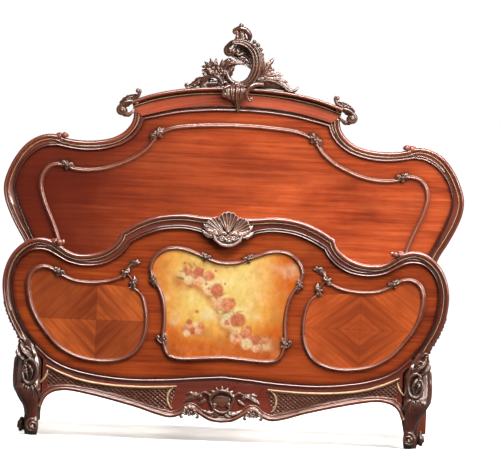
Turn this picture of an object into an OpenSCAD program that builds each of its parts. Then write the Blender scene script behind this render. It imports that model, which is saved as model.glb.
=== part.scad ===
// Rococo-style double bed: a tall arched headboard, a lower lobed footboard on
// carved cabriole legs, and two side rails that carry a slatted base.
// X is across the bed, Y runs from the foot (-) to the head (+), Z is up.

/* [Bed] */
// Clear length between the two ends, for the mattress
mattress_l = 1920; // [1850:10:2050]
// Thickness of the footboard and headboard frames
frame_t = 56; // [46:2:60]
// Depth of the flat field behind the front of the frame
field_set_back = 18; // [12:1:22]
// Thickness of the veneered field panels
field_t = 22; // [16:1:28]

/* [Side rails] */
// Height of each side rail
rail_h = 190; // [150:5:220]
// Thickness of each side rail
rail_t = 28; // [22:1:34]
// Height of the rail's lower edge above the floor
rail_z = 185; // [170:5:220]

/* [Slatted base] */
// Number of slats
slat_n = 13; // [9:1:17]
// Width of each slat
slat_w = 78; // [60:1:90]
// Thickness of each slat
slat_t = 18; // [14:1:24]
// Side of the square ledger under the slats
ledger_s = 30; // [24:1:36]

/* [Mouldings] */
// Width of the thin applied beads
bead_w = 12; // [8:1:16]
// Height of the thin applied beads above the field
bead_h = 9; // [6:1:12]
// Pitch of the carved trellis on the apron
trellis_pitch = 17; // [14:1:24]

/* [Smoothness] */
// Steps between two control points of an outline
curve_steps = 5; // [3:1:8]

/* [Hidden] */
mahogany = [0.45, 0.15, 0.08];
dark_mahogany = [0.33, 0.11, 0.07];
carving_colour = [0.36, 0.17, 0.12];
gilt = [0.80, 0.62, 0.33];
painted = [0.91, 0.66, 0.28];
pine = [0.80, 0.66, 0.45];
iron = [0.25, 0.24, 0.23];

front_overhang = 30;              // how far the knees and shell stand in front of the frame
back_overhang = 4;                // the headboard posts stand this far behind its frame
back_rail_t = 22;                 // cross rail behind the footboard
back_rail_y = 42;                 // its front face, behind the apron
foot_inner = back_rail_y + back_rail_t;
end_gap = mattress_l + foot_inner;   // from the footboard's front to the headboard's front
foot_y = -(end_gap + frame_t + back_overhang + front_overhang) / 2 + front_overhang;
head_y = foot_y + end_gap;
leg_depth = 96;                   // footboard leg, front to back at the top
leg_in = 644;                     // inner face of the footboard's legs
post_in = 680;                    // inner face of the headboard's posts
post_out = 736;
rail_x = 704;                     // inner face of a side rail
rail_y0 = foot_y + leg_depth;
rail_y1 = head_y;
slat_z = rail_z + 40 + ledger_s;  // underside of the slats

// ---------------------------------------------------------------- curves
function mirrored(pts) = [for (i = [len(pts) - 1:-1:0]) [-pts[i][0], pts[i][1]]];
function drop_first(pts) = [for (i = [1:len(pts) - 1]) pts[i]];
// An open Catmull-Rom curve through every point of pts
function knot(pts, i) =
    i < 0 ? 2 * pts[0] - pts[1] :
    i > len(pts) - 1 ? 2 * pts[len(pts) - 1] - pts[len(pts) - 2] : pts[i];
function hermite(a, b, c, d, t) =
    0.5 * (2 * b + (c - a) * t + (2 * a - 5 * b + 4 * c - d) * t * t
           + (3 * b - a - 3 * c + d) * t * t * t);
function curve(pts, n = curve_steps) = concat(
    [for (i = [0:len(pts) - 2], k = [0:n - 1])
        hermite(knot(pts, i - 1), knot(pts, i), knot(pts, i + 1), knot(pts, i + 2), k / n)],
    [pts[len(pts) - 1]]);
function loop(pts, n = curve_steps) = let (m = len(pts))
    [for (i = [0:m - 1], k = [0:n - 1])
        hermite(pts[(i + m - 1) % m], pts[i], pts[(i + 1) % m], pts[(i + 2) % m], k / n)];
// A list of points taken at m + 1 equal steps along it, so that two lists can be paired
function resample(pts, m) = [for (i = [0:m]) let (s = i * (len(pts) - 1) / m, a = floor(s))
    a >= len(pts) - 1 ? pts[len(pts) - 1] : pts[a] + (s - a) * (pts[a + 1] - pts[a])];
function unit(v) = norm(v) == 0 ? [0, 0] : v / norm(v);
function normal_at(pts, i, closed) = let (
    m = len(pts),
    a = closed ? pts[(i + m - 1) % m] : pts[max(i - 1, 0)],
    b = closed ? pts[(i + 1) % m] : pts[min(i + 1, m - 1)],
    u = unit(b - a)) [-u[1], u[0]];
function shifted(pts, d, closed = false) =
    [for (i = [0:len(pts) - 1]) pts[i] + d * normal_at(pts, i, closed)];
function both_sides(half) = concat(mirrored(drop_first(half)), half);

// ---------------------------------------------------------------- footboard outlines
fb_outer_top = [[0, 800], [90, 803], [170, 809], [250, 800], [320, 775], [384, 738]];
fb_outer_dip = [[384, 738], [392, 714], [412, 690], [446, 668], [490, 655], [535, 653],
                [570, 663], [598, 682]];
fb_outer_lobe = [[598, 682], [628, 698], [668, 707], [710, 698], [752, 668], [784, 620], [800, 553],
                 [793, 475], [771, 412], [743, 361], [731, 339]];
fb_inner_top = [[0, 706], [30, 709], [56, 722], [85, 742], [125, 754], [170, 758], [240, 750],
                [300, 728], [347, 702]];
fb_inner_dip = [[347, 702], [362, 677], [395, 645], [445, 620], [510, 612], [565, 622], [610, 645]];
fb_inner_lobe = [[610, 645], [640, 660], [670, 665], [705, 658], [738, 630], [757, 590], [762, 545],
                 [755, 480], [735, 425], [705, 370], [668, 326]];
fb_inner_bottom = [[668, 326], [612, 279], [545, 249], [450, 229], [330, 219], [200, 223], [100, 232],
                   [0, 240]];
apron_edge = [[0, 68], [42, 74], [80, 94], [112, 114], [142, 92], [182, 80], [235, 90], [300, 110],
              [400, 135], [480, 152], [550, 163], [600, 157], [630, 136], [leg_in + 2, 100]];
fillet_line = [[163, 193], [220, 188], [300, 185], [400, 188], [500, 201], [575, 224], [633, 251]];
trellis_under = [[186, 108], [240, 118], [300, 135], [360, 154], [430, 170], [480, 178], [550, 184],
                 [600, 182], [626, 178]];
kidney_line = [[345, 540], [318, 530], [297, 505], [285, 460], [282, 400], [295, 345], [325, 304],
               [372, 281], [430, 273], [490, 278], [542, 293], [592, 322], [632, 362], [667, 408],
               [692, 455], [703, 495], [707, 532], [702, 567], [685, 592], [655, 603], [625, 597],
               [600, 583], [578, 570], [540, 556], [480, 552], [420, 560], [376, 578], [358, 598],
               [342, 622], [312, 630]];
painted_line = [[0, 637], [40, 642], [76, 656], [110, 669], [148, 682], [186, 686], [222, 679],
                [252, 657], [269, 625], [270, 598], [259, 570], [238, 538], [224, 500], [217, 455],
                [216, 410], [219, 368], [213, 335], [202, 308], [180, 295], [140, 291], [70, 296],
                [0, 301]];

// ---------------------------------------------------------------- headboard outlines
post_top = 500;          // the posts end here and the curved stiles begin
cornice_top = [[0, 1247], [100, 1244], [200, 1234], [300, 1214], [388, 1185]];
cornice_under = [[0, 1207], [100, 1203], [200, 1191], [300, 1171], [378, 1146]];
hb_outer_dip = [[378, 1146], [380, 1118], [391, 1092], [416, 1065], [455, 1044], [505, 1033],
                [560, 1030], [605, 1034], [632, 1040]];
hb_outer_lobe = [[632, 1040], [655, 1048], [685, 1050], [725, 1040], [768, 1012], [805, 965],
                 [832, 910], [845, 858], [840, 810], [825, 768], [806, 728], [786, 692], [764, 655],
                 [746, 612], [734, 560], [post_out, post_top]];
hb_inner_top = [[0, 1160], [100, 1157], [200, 1147], [270, 1133], [338, 1117]];
hb_inner_dip = [[338, 1117], [350, 1085], [375, 1052], [415, 1024], [465, 1006], [520, 997],
                [575, 997], [625, 1004], [655, 1010]];
hb_inner_lobe = [[655, 1010], [700, 1003], [742, 978], [776, 938], [796, 892], [802, 850],
                 [792, 808], [772, 760], [748, 708], [722, 655], [702, 600], [688, 548],
                 [post_in, post_top]];
head_bead_line = [[0, 1105], [100, 1102], [200, 1093], [250, 1081], [286, 1062], [302, 1040],
                  [322, 1013], [362, 980], [420, 950], [480, 930], [540, 922], [590, 925],
                  [618, 936], [650, 940], [682, 930], [703, 903], [710, 870], [705, 835],
                  [690, 790], [670, 745], [653, 705], [638, 660], [626, 610], [614, 565],
                  [580, 530], [500, 512], [400, 506], [0, 500]];
head_field_foot = 330;   // lower edge of the headboard's field
head_rail_z = 160;       // the headboard's bottom rail, from here
head_rail_top = 440;     // to here

// ---------------------------------------------------------------- building modules
// A flat plate with its outline in the XZ plane, from y to y + t
module plate(y, t, pts) {
    translate([0, y + t, 0]) rotate([90, 0, 0]) linear_extrude(t) polygon(pts);
}
// A band between two curves of equal length, with a moulded section of [across, depth] points:
// across runs from 0 at the outer curve to 1 at the inner one, depth from 0 at the front
module moulded_band(y, outer, inner, section) {
    m = len(outer);
    k = len(section);
    pts = [for (i = [0:m - 1], s = section)
        [outer[i][0] + s[0] * (inner[i][0] - outer[i][0]), y + s[1],
         outer[i][1] + s[0] * (inner[i][1] - outer[i][1])]];
    sides = [for (i = [0:m - 2], j = [0:k - 1])
        [i * k + j, (i + 1) * k + j, (i + 1) * k + (j + 1) % k, i * k + (j + 1) % k]];
    caps = [[for (j = [0:k - 1]) j], [for (j = [k - 1:-1:0]) (m - 1) * k + j]];
    polyhedron(pts, concat(sides, caps), convexity = 8);
}
function bead_section(y, w, h) = [[-0.5, y], [-0.42, y - 0.55 * h], [-0.2, y - h], [0.2, y - h],
                                  [0.42, y - 0.55 * h], [0.5, y]];
// A half-round bead of width w and height h on the face y, along an open curve
module bead(y, path, w = bead_w, h = bead_h) {
    k = 6;
    m = len(path);
    pts = [for (i = [0:m - 1], s = bead_section(y, w, h))
        let (n = normal_at(path, i, false)) [path[i][0] + s[0] * w * n[0], s[1],
                                             path[i][1] + s[0] * w * n[1]]];
    sides = [for (i = [0:m - 2], j = [0:k - 1])
        [i * k + j, i * k + (j + 1) % k, (i + 1) * k + (j + 1) % k, (i + 1) * k + j]];
    caps = [[for (j = [k - 1:-1:0]) j], [for (j = [0:k - 1]) (m - 1) * k + j]];
    polyhedron(pts, concat(sides, caps), convexity = 8);
}
module pair() {
    children();
    mirror([1, 0, 0]) children();
}
// A small leaf clasp: two crossed rounded lobes and a boss
module clasp(x, z, turn, y, s = 1) {
    translate([x, y, z]) rotate([90, 0, 0]) rotate(turn) {
        linear_extrude(13 * s) {
            scale([1, 0.55]) circle(r = 17 * s, $fn = 24);
            rotate(90) scale([1, 0.5]) circle(r = 13 * s, $fn = 24);
        }
    }
}
module ball(x, y, z, r) {
    translate([x, y, z]) sphere(r = r, $fn = 32);
}

// Points per stretch of each band, the same on both of its sides
top_n = 26;
dip_n = 22;
lobe_n = 34;
low_n = 30;
function rail_line(top, dip) =
    concat(resample(curve(top), top_n), drop_first(resample(curve(dip), dip_n)));
fb_outer_rail = rail_line(fb_outer_top, fb_outer_dip);
fb_inner_rail = rail_line(fb_inner_top, fb_inner_dip);
fb_outer_stile = resample(curve(fb_outer_lobe), lobe_n);
fb_inner_stile = resample(curve(fb_inner_lobe), lobe_n);
fb_sight = concat(fb_inner_rail, drop_first(fb_inner_stile),
                  drop_first(resample(curve(fb_inner_bottom), low_n)));
hb_outer_rail = rail_line(cornice_under, hb_outer_dip);
hb_inner_rail = rail_line(hb_inner_top, hb_inner_dip);
hb_outer_stile = resample(curve(hb_outer_lobe), lobe_n);
hb_inner_stile = resample(curve(hb_inner_lobe), lobe_n);

// Section of the frames: a rounded outer rim, a hollow, and a raised inner bead
function frame_section() = [[0, frame_t], [0, 8], [0.06, 2], [0.16, 0], [0.27, 3], [0.33, 9],
                            [0.62, 11], [0.68, 4], [0.78, 0], [0.9, 2], [1, 8], [1, frame_t]];

// ---------------------------------------------------------------- footboard
module footboard_panel() {
    color(mahogany)
        plate(foot_y + field_set_back, field_t, both_sides(shifted(fb_sight, -0.1)));
}
module footboard_top_rail() {
    color(dark_mahogany)
        moulded_band(foot_y, both_sides(fb_outer_rail), both_sides(fb_inner_rail), frame_section());
}
module footboard_stile() {
    color(dark_mahogany) moulded_band(foot_y, fb_outer_stile, fb_inner_stile, frame_section());
}
lower_line = curve(fb_inner_bottom);
lower_upper = both_sides([for (i = [len(lower_line) - 1:-1:0]) lower_line[i]]);
lower_w = 24;
lower_t = 40;
apron_set_back = 8;      // the apron's face behind the front of the frame
apron_t = 34;
apron_y = foot_y + apron_set_back;
module footboard_lower_moulding() {
    color(dark_mahogany)
        moulded_band(foot_y, lower_upper, shifted(lower_upper, -lower_w),
                     [[0, lower_t], [0, 8], [0.15, 2], [0.35, 0], [0.55, 4], [0.65, 9], [0.8, 6],
                      [1, 8], [1, lower_t]]);
}
module footboard_apron() {
    under_moulding = shifted(lower_upper, -lower_w);
    inside = [for (p = under_moulding) if (abs(p[0]) < leg_in + 2) p];
    lower = both_sides(curve(apron_edge));
    color(mahogany)
        plate(apron_y, apron_t, concat(inside, [for (i = [len(lower) - 1:-1:0]) lower[i]]));
}
module apron_edge_bead() {
    color(dark_mahogany)
        bead(apron_y, shifted(both_sides(curve(apron_edge)), 7), 13, 9);
}
module trellis_region() {
    top = shifted(curve(fillet_line), -9);
    low = curve(trellis_under);
    polygon(concat(top, [for (i = [len(low) - 1:-1:0]) low[i]]));
}
module apron_trellis() {
    bar_w = 3;
    bar_l = 300;
    slant = 38;
    middle = 150;
    color(carving_colour) pair()
        translate([0, apron_y, 0]) rotate([90, 0, 0]) linear_extrude(bar_w) intersection() {
            trellis_region();
            for (i = [-4:34], a = [-slant, slant])
                translate([middle + i * trellis_pitch, middle]) rotate(a) square([bar_w, bar_l], center = true);
        }
}
module apron_gilt_fillets() {
    inner_arc = [[181, 186], [192, 168], [191, 145], [179, 121]];
    outer_arc = [[630, 220], [635, 206], [644, 192]];
    color(gilt) pair() {
        bead(apron_y, curve(fillet_line), 8, 6);
        bead(apron_y, curve(inner_arc), 7, 6);
        bead(apron_y, curve(outer_arc), 6, 6);
    }
}
// Cabriole leg: its front outline crossed with its side outline
leg_front = [[leg_in, 330], [leg_in, 240], [leg_in, 160], [646, 110], [650, 66], [650, 40], [652, 14],
             [662, 0], [694, 0], [704, 14], [706, 40], [706, 70], [712, 105], [726, 145], [744, 180],
             [753, 215], [750, 250], [738, 290], [731, 338]];
leg_side_front = [[0, 338], [-10, 300], [-24, 255], [-30, 215], [-24, 175], [-8, 132], [6, 96], [8, 66],
                  [-4, 48], [-16, 34], [-18, 16], [-8, 0]];
leg_side_back = [[112, 0], [120, 22], [110, 52], [96, 90], [leg_depth, 150], [leg_depth, 338]];
leg_notch_z = 160;
module leg_solid() {
    front = curve(leg_front, 3);
    side = concat(curve(leg_side_front, 3), curve(leg_side_back, 3));
    intersection() {
        translate([0, foot_y + 160, 0]) rotate([90, 0, 0]) linear_extrude(220) polygon(front);
        translate([600, foot_y, 0]) rotate([90, 0, 90]) linear_extrude(200) polygon(side);
    }
}
module footboard_right_leg() {
    color(dark_mahogany) difference() {
        leg_solid();
        // a notch leaves room for the mattress corner and the back rail's end
        translate([leg_in - 1, foot_y + back_rail_y, leg_notch_z])
            cube([rail_x - leg_in + 1, leg_depth, 200]);
        // the panel, apron and frame are housed in the leg's inner front corner
        translate([0, foot_y - 1, 0]) rotate([90, 0, 0]) mirror([0, 0, 1]) linear_extrude(frame_t + 1)
            polygon(concat([[600, 345], [leg_in + 2, 60]], [[leg_in + 2, 282]],
                           [for (p = shifted(fb_inner_bottom, lower_w)) if (p[0] > leg_in) p],
                           [[735, 339], [735, 345]]));
    }
}
module knee_carving() {
    // a C-scroll cartouche on the front of the knee, and its leaf above
    color(carving_colour) translate([0, foot_y - 6, 0]) rotate([90, 0, 0]) {
        linear_extrude(24) difference() {
            translate([697, 235]) scale([0.85, 1]) circle(r = 48, $fn = 48);
            translate([699, 234]) scale([0.7, 1]) circle(r = 26, $fn = 32);
        }
        linear_extrude(18)
            polygon(loop([[690, 278], [712, 300], [722, 345], [728, 372], [738, 330], [738, 295],
                          [722, 272]], 3));
    }
}
toe_r = 22;
toe_z = 30;
toe_t = 38;
module toe_volutes() {
    color(carving_colour) pair() {
        translate([678, foot_y + 14, toe_z]) rotate([90, 0, 0]) cylinder(h = toe_t, r = toe_r, $fn = 48);
        translate([684, foot_y + 88, toe_z]) rotate([0, 90, 0]) cylinder(h = toe_t, r = toe_r, $fn = 48);
    }
}
module footboard_shell() {
    fan = [[0, 829], [-24, 822], [-52, 822], [-82, 812], [-104, 800], [-86, 778], [-66, 752], [-48, 726],
           [-24, 708], [0, 702]];
    color(carving_colour)
        translate([0, foot_y, 0]) rotate([90, 0, 0]) linear_extrude(front_overhang)
            polygon(loop(concat(fan, [for (i = [len(fan) - 2:-1:1]) [-fan[i][0], fan[i][1]]]), 3));
}
module footboard_shoulder_scrolls() {
    color(carving_colour) pair() {
        translate([588, foot_y + frame_t, 692]) rotate([90, 0, 0])
            cylinder(h = frame_t + 4, r = 13, $fn = 32);
        ball(606, foot_y + 4, 686, 9);
    }
}
module apron_cartouche() {
    wing = [[0, 214], [-34, 204], [-66, 182], [-96, 186], [-124, 166], [-152, 148], [-120, 146],
            [-88, 150], [-62, 140], [-52, 116], [-30, 92], [0, 88]];
    color(carving_colour) translate([0, apron_y, 0]) rotate([90, 0, 0]) linear_extrude(20) difference() {
        polygon(loop(concat(wing, [for (i = [len(wing) - 2:-1:1]) [-wing[i][0], wing[i][1]]]), 3));
        translate([-4, 150]) scale([1.3, 1]) circle(r = 20, $fn = 32);
    }
}
module apron_rocailles() {
    color(carving_colour) pair() translate([0, apron_y, 0]) rotate([90, 0, 0]) linear_extrude(18)
        polygon(loop([[84, 88], [90, 116], [108, 134], [128, 124], [146, 92], [112, 104]], 3));
}
picture_t = 2;
module painted_panel() {
    color(painted)
        plate(foot_y + field_set_back - picture_t, picture_t, both_sides(curve(painted_line)));
}
module painted_panel_bead() {
    color(dark_mahogany) pair() bead(foot_y + field_set_back, curve(painted_line));
}
module painted_panel_clasps() {
    y = foot_y + field_set_back - picture_t;
    color(carving_colour) pair() {
        clasp(78, 657, 65, y, 0.9);
        clasp(263, 568, 30, y, 0.9);
        clasp(217, 360, 0, y, 0.9);
    }
}
kidney_heart = [460, 415];   // where the four veneers of a kidney panel meet
veneer_t = 1.2;
veneer_gap = 0.15;           // from each veneer's edge to the seam
kidney_tail = 4 * curve_steps + 1;   // the points of the bead's free end, past the veneer
module kidney_veneers() {
    line = curve(kidney_line);
    color(mahogany) for (a = [0:3])
        translate([0, foot_y + field_set_back, 0]) rotate([90, 0, 0]) linear_extrude(veneer_t)
            intersection() {
                polygon([for (i = [0:len(line) - 1 - kidney_tail]) line[i]]);
                translate(kidney_heart) rotate(a * 90) translate([veneer_gap, veneer_gap]) square(400);
            }
}
module kidney_bead() {
    color(dark_mahogany) bead(foot_y + field_set_back, curve(kidney_line, 4));
}
module kidney_clasps() {
    y = foot_y + field_set_back - picture_t;
    color(carving_colour) pair() {
        clasp(602, 585, 25, y, 0.9);
        clasp(361, 594, 120, y, 0.9);
        clasp(331, 560, 10, y, 0.9);
    }
}

// ---------------------------------------------------------------- headboard
module headboard_panel() {
    sight = concat(hb_inner_rail, drop_first(hb_inner_stile));
    half = concat(shifted(sight, -0.1), [[post_in, head_field_foot]]);
    color(mahogany) plate(head_y + field_set_back, field_t, both_sides(half));
}
module headboard_top_rail() {
    color(dark_mahogany)
        moulded_band(head_y, both_sides(hb_outer_rail), both_sides(hb_inner_rail), frame_section());
}
module headboard_stile() {
    color(dark_mahogany) moulded_band(head_y, hb_outer_stile, hb_inner_stile, frame_section());
}
module headboard_cornice() {
    top = both_sides(resample(curve(cornice_top), 30));
    under = both_sides(resample(curve(cornice_under), 30));
    color(dark_mahogany)
        moulded_band(head_y, top, under,
                     [[0, frame_t], [0, -26], [0.18, -30], [0.36, -28], [0.5, -12], [0.72, -6], [0.8, 0],
                      [1, 2], [1, frame_t]]);
}
module headboard_post() {
    color(dark_mahogany)
        translate([post_in, head_y, 0]) cube([post_out - post_in, frame_t + back_overhang, post_top]);
}
module headboard_bottom_rail() {
    color(mahogany) difference() {
        translate([-post_in, head_y, head_rail_z])
            cube([2 * post_in, frame_t, head_rail_top - head_rail_z]);
        translate([-post_in - 1, head_y + field_set_back, head_field_foot])
            cube([2 * post_in + 2, field_t, 200]);
    }
}
module headboard_bead() {
    color(dark_mahogany) pair() bead(head_y + field_set_back, curve(head_bead_line, 4));
}
module headboard_clasps() {
    y = head_y + field_set_back - picture_t;
    color(carving_colour) pair() {
        clasp(288, 1064, 140, y);
        clasp(617, 936, 20, y, 0.9);
    }
}
module headboard_shoulder_scrolls() {
    color(carving_colour) pair() {
        translate([617, head_y + frame_t, 1050]) rotate([90, 0, 0])
            cylinder(h = frame_t + 4, r = 12, $fn = 32);
        ball(634, head_y + 6, 1044, 8);
    }
}
module cornice_scroll() {
    color(carving_colour) {
        translate([420, head_y + 20, 1158]) rotate([90, 0, 0]) cylinder(h = 52, r = 23, $fn = 48);
        translate([0, head_y + 10, 0]) rotate([90, 0, 0]) linear_extrude(36)
            polygon(loop([[352, 1204], [372, 1226], [364, 1204], [398, 1196], [428, 1184], [440, 1160],
                          [410, 1168], [384, 1186]], 3));
    }
}
module headboard_crest() {
    plume = [[-6, 1484], [8, 1470], [16, 1440], [44, 1418], [66, 1376], [84, 1338], [118, 1350],
             [116, 1306], [150, 1292], [162, 1262], [206, 1252], [190, 1236], [120, 1246], [60, 1250],
             [40, 1232], [44, 1190],
             [10, 1158], [-10, 1158], [-44, 1190], [-40, 1236], [-120, 1244], [-200, 1240], [-202, 1254],
             [-156, 1266], [-140, 1300], [-118, 1338], [-80, 1350], [-54, 1330], [-30, 1340], [-52, 1368],
             [-58, 1396], [-30, 1418], [-22, 1446]];
    color(carving_colour) translate([0, head_y - 4, 0]) rotate([90, 0, 0])
        linear_extrude(34) difference() {
        polygon(loop(plume, 3));
        translate([14, 1302]) scale([0.8, 1]) circle(r = 34, $fn = 40);
        translate([-102, 1268]) scale([1.5, 1]) circle(r = 14, $fn = 32);
    }
}

// ---------------------------------------------------------------- rails and base
module side_rail() {
    color(mahogany)
        translate([rail_x, rail_y0, rail_z]) cube([rail_t, rail_y1 - rail_y0, rail_h]);
}
module rail_beads() {
    color(dark_mahogany) for (z = [rail_z + 10, rail_z + rail_h - 8])
        translate([rail_x + rail_t, rail_y0, z]) rotate([-90, 0, 0])
            linear_extrude(rail_y1 - rail_y0) intersection() {
                scale([0.6, 1]) circle(r = 8, $fn = 32);
                translate([0, -10]) square(20);
            }
}
ledger_margin = 60;
module ledger() {
    color(pine)
        translate([rail_x - ledger_s, rail_y0 + ledger_margin, slat_z - ledger_s])
            cube([ledger_s, rail_y1 - rail_y0 - 2 * ledger_margin, ledger_s]);
}
slat_len = 2 * rail_x - 6;
slat_run = rail_y1 - rail_y0 - 2 * ledger_margin - slat_w;
function slat_y(i) = rail_y0 + ledger_margin + slat_w / 2 + i * slat_run / (slat_n - 1);
module slats() {
    color(pine) for (i = [0:slat_n - 1])
        translate([-slat_len / 2, slat_y(i) - slat_w / 2, slat_z]) cube([slat_len, slat_w, slat_t]);
}
screw_h = 1.8;
screw_r = 5;
screw_start = 120;
screw_pitch = 260;
module ledger_screws() {
    color(iron) for (i = [0:6], s = [-1, 1])
        translate([s * (rail_x - ledger_s), rail_y0 + screw_start + i * screw_pitch, slat_z - ledger_s / 2])
            rotate([0, -s * 90, 0]) cylinder(h = screw_h, r = screw_r, $fn = 24);
}
back_rail_h = 155;
module footboard_back_rail() {
    color(pine)
        translate([-rail_x, foot_y + back_rail_y, leg_notch_z + 4])
            cube([2 * rail_x, back_rail_t, back_rail_h]);
}
beam_w = 44;
beam_h = 88;
module centre_beam() {
    color(pine) translate([-beam_w / 2, foot_y + foot_inner, slat_z - beam_h])
        cube([beam_w, mattress_l, beam_h]);
}
plate_t = 3;
plate_h = 54;
plate_l = 110;
angle_l = 60;
plate_z = slat_z + slat_t + 6;
module rail_brackets() {
    // a flat plate joins rail and leg at the foot, an angle joins rail and post at the head
    color(iron) pair() {
        translate([rail_x - plate_t, foot_y + foot_inner + 2, plate_z]) cube([plate_t, plate_l, plate_h]);
        translate([rail_x - plate_t, head_y - angle_l, plate_z]) cube([plate_t, angle_l, plate_h]);
        translate([rail_x - plate_h, head_y - plate_t, plate_z]) cube([plate_h, plate_t, plate_h]);
    }
}
module bracket_screws() {
    edge = 18;
    far = 40;
    color(iron) pair() for (z = [edge, plate_h / 2, plate_h - edge]) {
        for (y = [foot_y + foot_inner + edge, foot_y + foot_inner + plate_l - edge, head_y - far])
            translate([rail_x - plate_t, y, plate_z + z]) rotate([0, -90, 0])
                cylinder(h = screw_h, r = screw_r, $fn = 24);
        translate([rail_x - far, head_y - plate_t, plate_z + z]) rotate([90, 0, 0])
            cylinder(h = screw_h, r = screw_r, $fn = 24);
    }
}

module left() { mirror([1, 0, 0]) children(); }

footboard_panel();
footboard_top_rail();
left() footboard_stile();  // footboard_left_stile
footboard_stile();  // footboard_right_stile
footboard_lower_moulding();
footboard_apron();
apron_edge_bead();
apron_trellis();
apron_gilt_fillets();
left() footboard_right_leg();  // footboard_left_leg
footboard_right_leg();
left() knee_carving();  // left_knee_carving
knee_carving();  // right_knee_carving
toe_volutes();
footboard_shell();
footboard_shoulder_scrolls();
apron_cartouche();
apron_rocailles();
painted_panel();
painted_panel_bead();
painted_panel_clasps();
left() kidney_veneers();  // left_kidney_veneers
kidney_veneers();  // right_kidney_veneers
left() kidney_bead();  // left_kidney_bead
kidney_bead();  // right_kidney_bead
kidney_clasps();
headboard_panel();
headboard_top_rail();
left() headboard_stile();  // headboard_left_stile
headboard_stile();  // headboard_right_stile
headboard_cornice();
left() headboard_post();  // headboard_left_post
headboard_post();  // headboard_right_post
headboard_bottom_rail();
headboard_bead();
headboard_clasps();
headboard_shoulder_scrolls();
left() cornice_scroll();  // cornice_left_scroll
cornice_scroll();  // cornice_right_scroll
headboard_crest();
left() side_rail();  // left_side_rail
side_rail();  // right_side_rail
left() rail_beads();  // left_rail_beads
rail_beads();  // right_rail_beads
left() ledger();  // left_ledger
ledger();  // right_ledger
slats();
ledger_screws();
footboard_back_rail();
centre_beam();
rail_brackets();
bracket_screws();
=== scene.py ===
"""Looks of the rococo-style panelled bed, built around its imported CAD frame."""

import math

import bpy
import bmesh
import numpy as np
from mathutils import Matrix, Vector
from mathutils.geometry import delaunay_2d_cdt


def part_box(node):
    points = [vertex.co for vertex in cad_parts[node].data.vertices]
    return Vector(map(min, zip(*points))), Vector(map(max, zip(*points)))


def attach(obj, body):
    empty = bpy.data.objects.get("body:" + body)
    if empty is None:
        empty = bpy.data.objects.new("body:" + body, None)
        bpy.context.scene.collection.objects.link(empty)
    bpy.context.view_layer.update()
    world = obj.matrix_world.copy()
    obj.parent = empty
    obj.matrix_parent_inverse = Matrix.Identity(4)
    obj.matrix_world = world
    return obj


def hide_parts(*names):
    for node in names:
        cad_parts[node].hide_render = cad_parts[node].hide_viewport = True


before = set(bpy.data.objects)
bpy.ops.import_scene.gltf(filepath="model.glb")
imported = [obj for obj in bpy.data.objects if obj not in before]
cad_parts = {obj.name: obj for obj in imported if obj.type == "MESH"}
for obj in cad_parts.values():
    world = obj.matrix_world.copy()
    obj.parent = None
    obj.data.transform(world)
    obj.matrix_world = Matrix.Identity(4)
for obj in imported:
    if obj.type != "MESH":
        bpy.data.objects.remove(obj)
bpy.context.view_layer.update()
MM = 0.001


def low(node):
    return np.array(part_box(node)[0]) / MM


def high(node):
    return np.array(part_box(node)[1]) / MM


FOOT = low("footboard_top_rail")[1]       # front plane of the footboard's frame, mm
HEAD = low("headboard_top_rail")[1]       # front plane of the headboard's frame, mm
FRAME_T = high("footboard_top_rail")[1] - FOOT
FIELD = low("footboard_panel")[1] - FOOT  # how far the field lies behind the frame's front
APRON = low("footboard_apron")[1] - FOOT
FRIEZE = 4.0                              # how far the flat frieze lies behind the frame's front
FIELD_T, APRON_T = 22.0, 34.0             # thickness of the fields and of the apron
MERGE = 1e-6                              # points closer than this become one, metres
BALL_ROWS = 12
SPIRAL_STEP = 14                          # degrees between the points of a spiral
LOFT_SIDES = 28


# ------------------------------------------------------------------ curves
def curve(pts, step=5.0):
    """A Catmull-Rom curve through pts, with a point about every step mm."""
    p = np.array(pts, float)
    p = np.vstack([2 * p[0] - p[1], p, 2 * p[-1] - p[-2]])
    out = []
    for i in range(1, len(p) - 2):
        a, b, c, d = p[i - 1:i + 3]
        n = max(2, int(np.ceil(np.linalg.norm(c - b) / step)))
        t = (np.arange(n) / n)[:, None]
        out.append(0.5 * (2 * b + (c - a) * t + (2 * a - 5 * b + 4 * c - d) * t ** 2
                          + (3 * b - a - 3 * c + d) * t ** 3))
    out.append(p[-2][None])
    return np.vstack(out)


def lengths(path):
    return np.r_[0, np.cumsum(np.linalg.norm(np.diff(path, axis=0), axis=1))]


def even(path, n):
    """path resampled to n + 1 points evenly spaced along it."""
    d = lengths(path)
    s = np.linspace(0, d[-1], n + 1)
    return np.column_stack([np.interp(s, d, path[:, k]) for k in range(path.shape[1])])


def flip_x(path):
    out = np.array(path, float)
    out[:, 0] *= -1
    return out


def both(half):
    """A left-right symmetric curve from its right half, which starts at x = 0."""
    return np.vstack([flip_x(half)[::-1][:-1], half])


def tangents(path):
    t = np.gradient(path, axis=0)
    return t / np.maximum(np.linalg.norm(t, axis=1), 1e-9)[:, None]


def normals(path):
    t = tangents(path)
    return np.column_stack([-t[:, 1], t[:, 0]])


def axes_along(path, steep):
    """Unit vectors of a path of (x, z, h): along it, sideways and up. Where it points nearly straight out
    of the board, so that its sideways vector is shorter than steep, sideways is the x axis."""
    t = tangents(path)
    side = np.cross(t, [0, 0, 1.0])
    side[np.linalg.norm(side, axis=1) < steep] = [1, 0, 0]
    side /= np.linalg.norm(side, axis=1)[:, None]
    return t, side, np.cross(side, t)


def shifted(path, d):
    return path + d * normals(path)


def stretch(values, n):
    """One value, or several spread evenly, as n values."""
    values = np.atleast_1d(values)
    return np.interp(np.linspace(0, 1, n), np.linspace(0, 1, len(values)), values)


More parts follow.
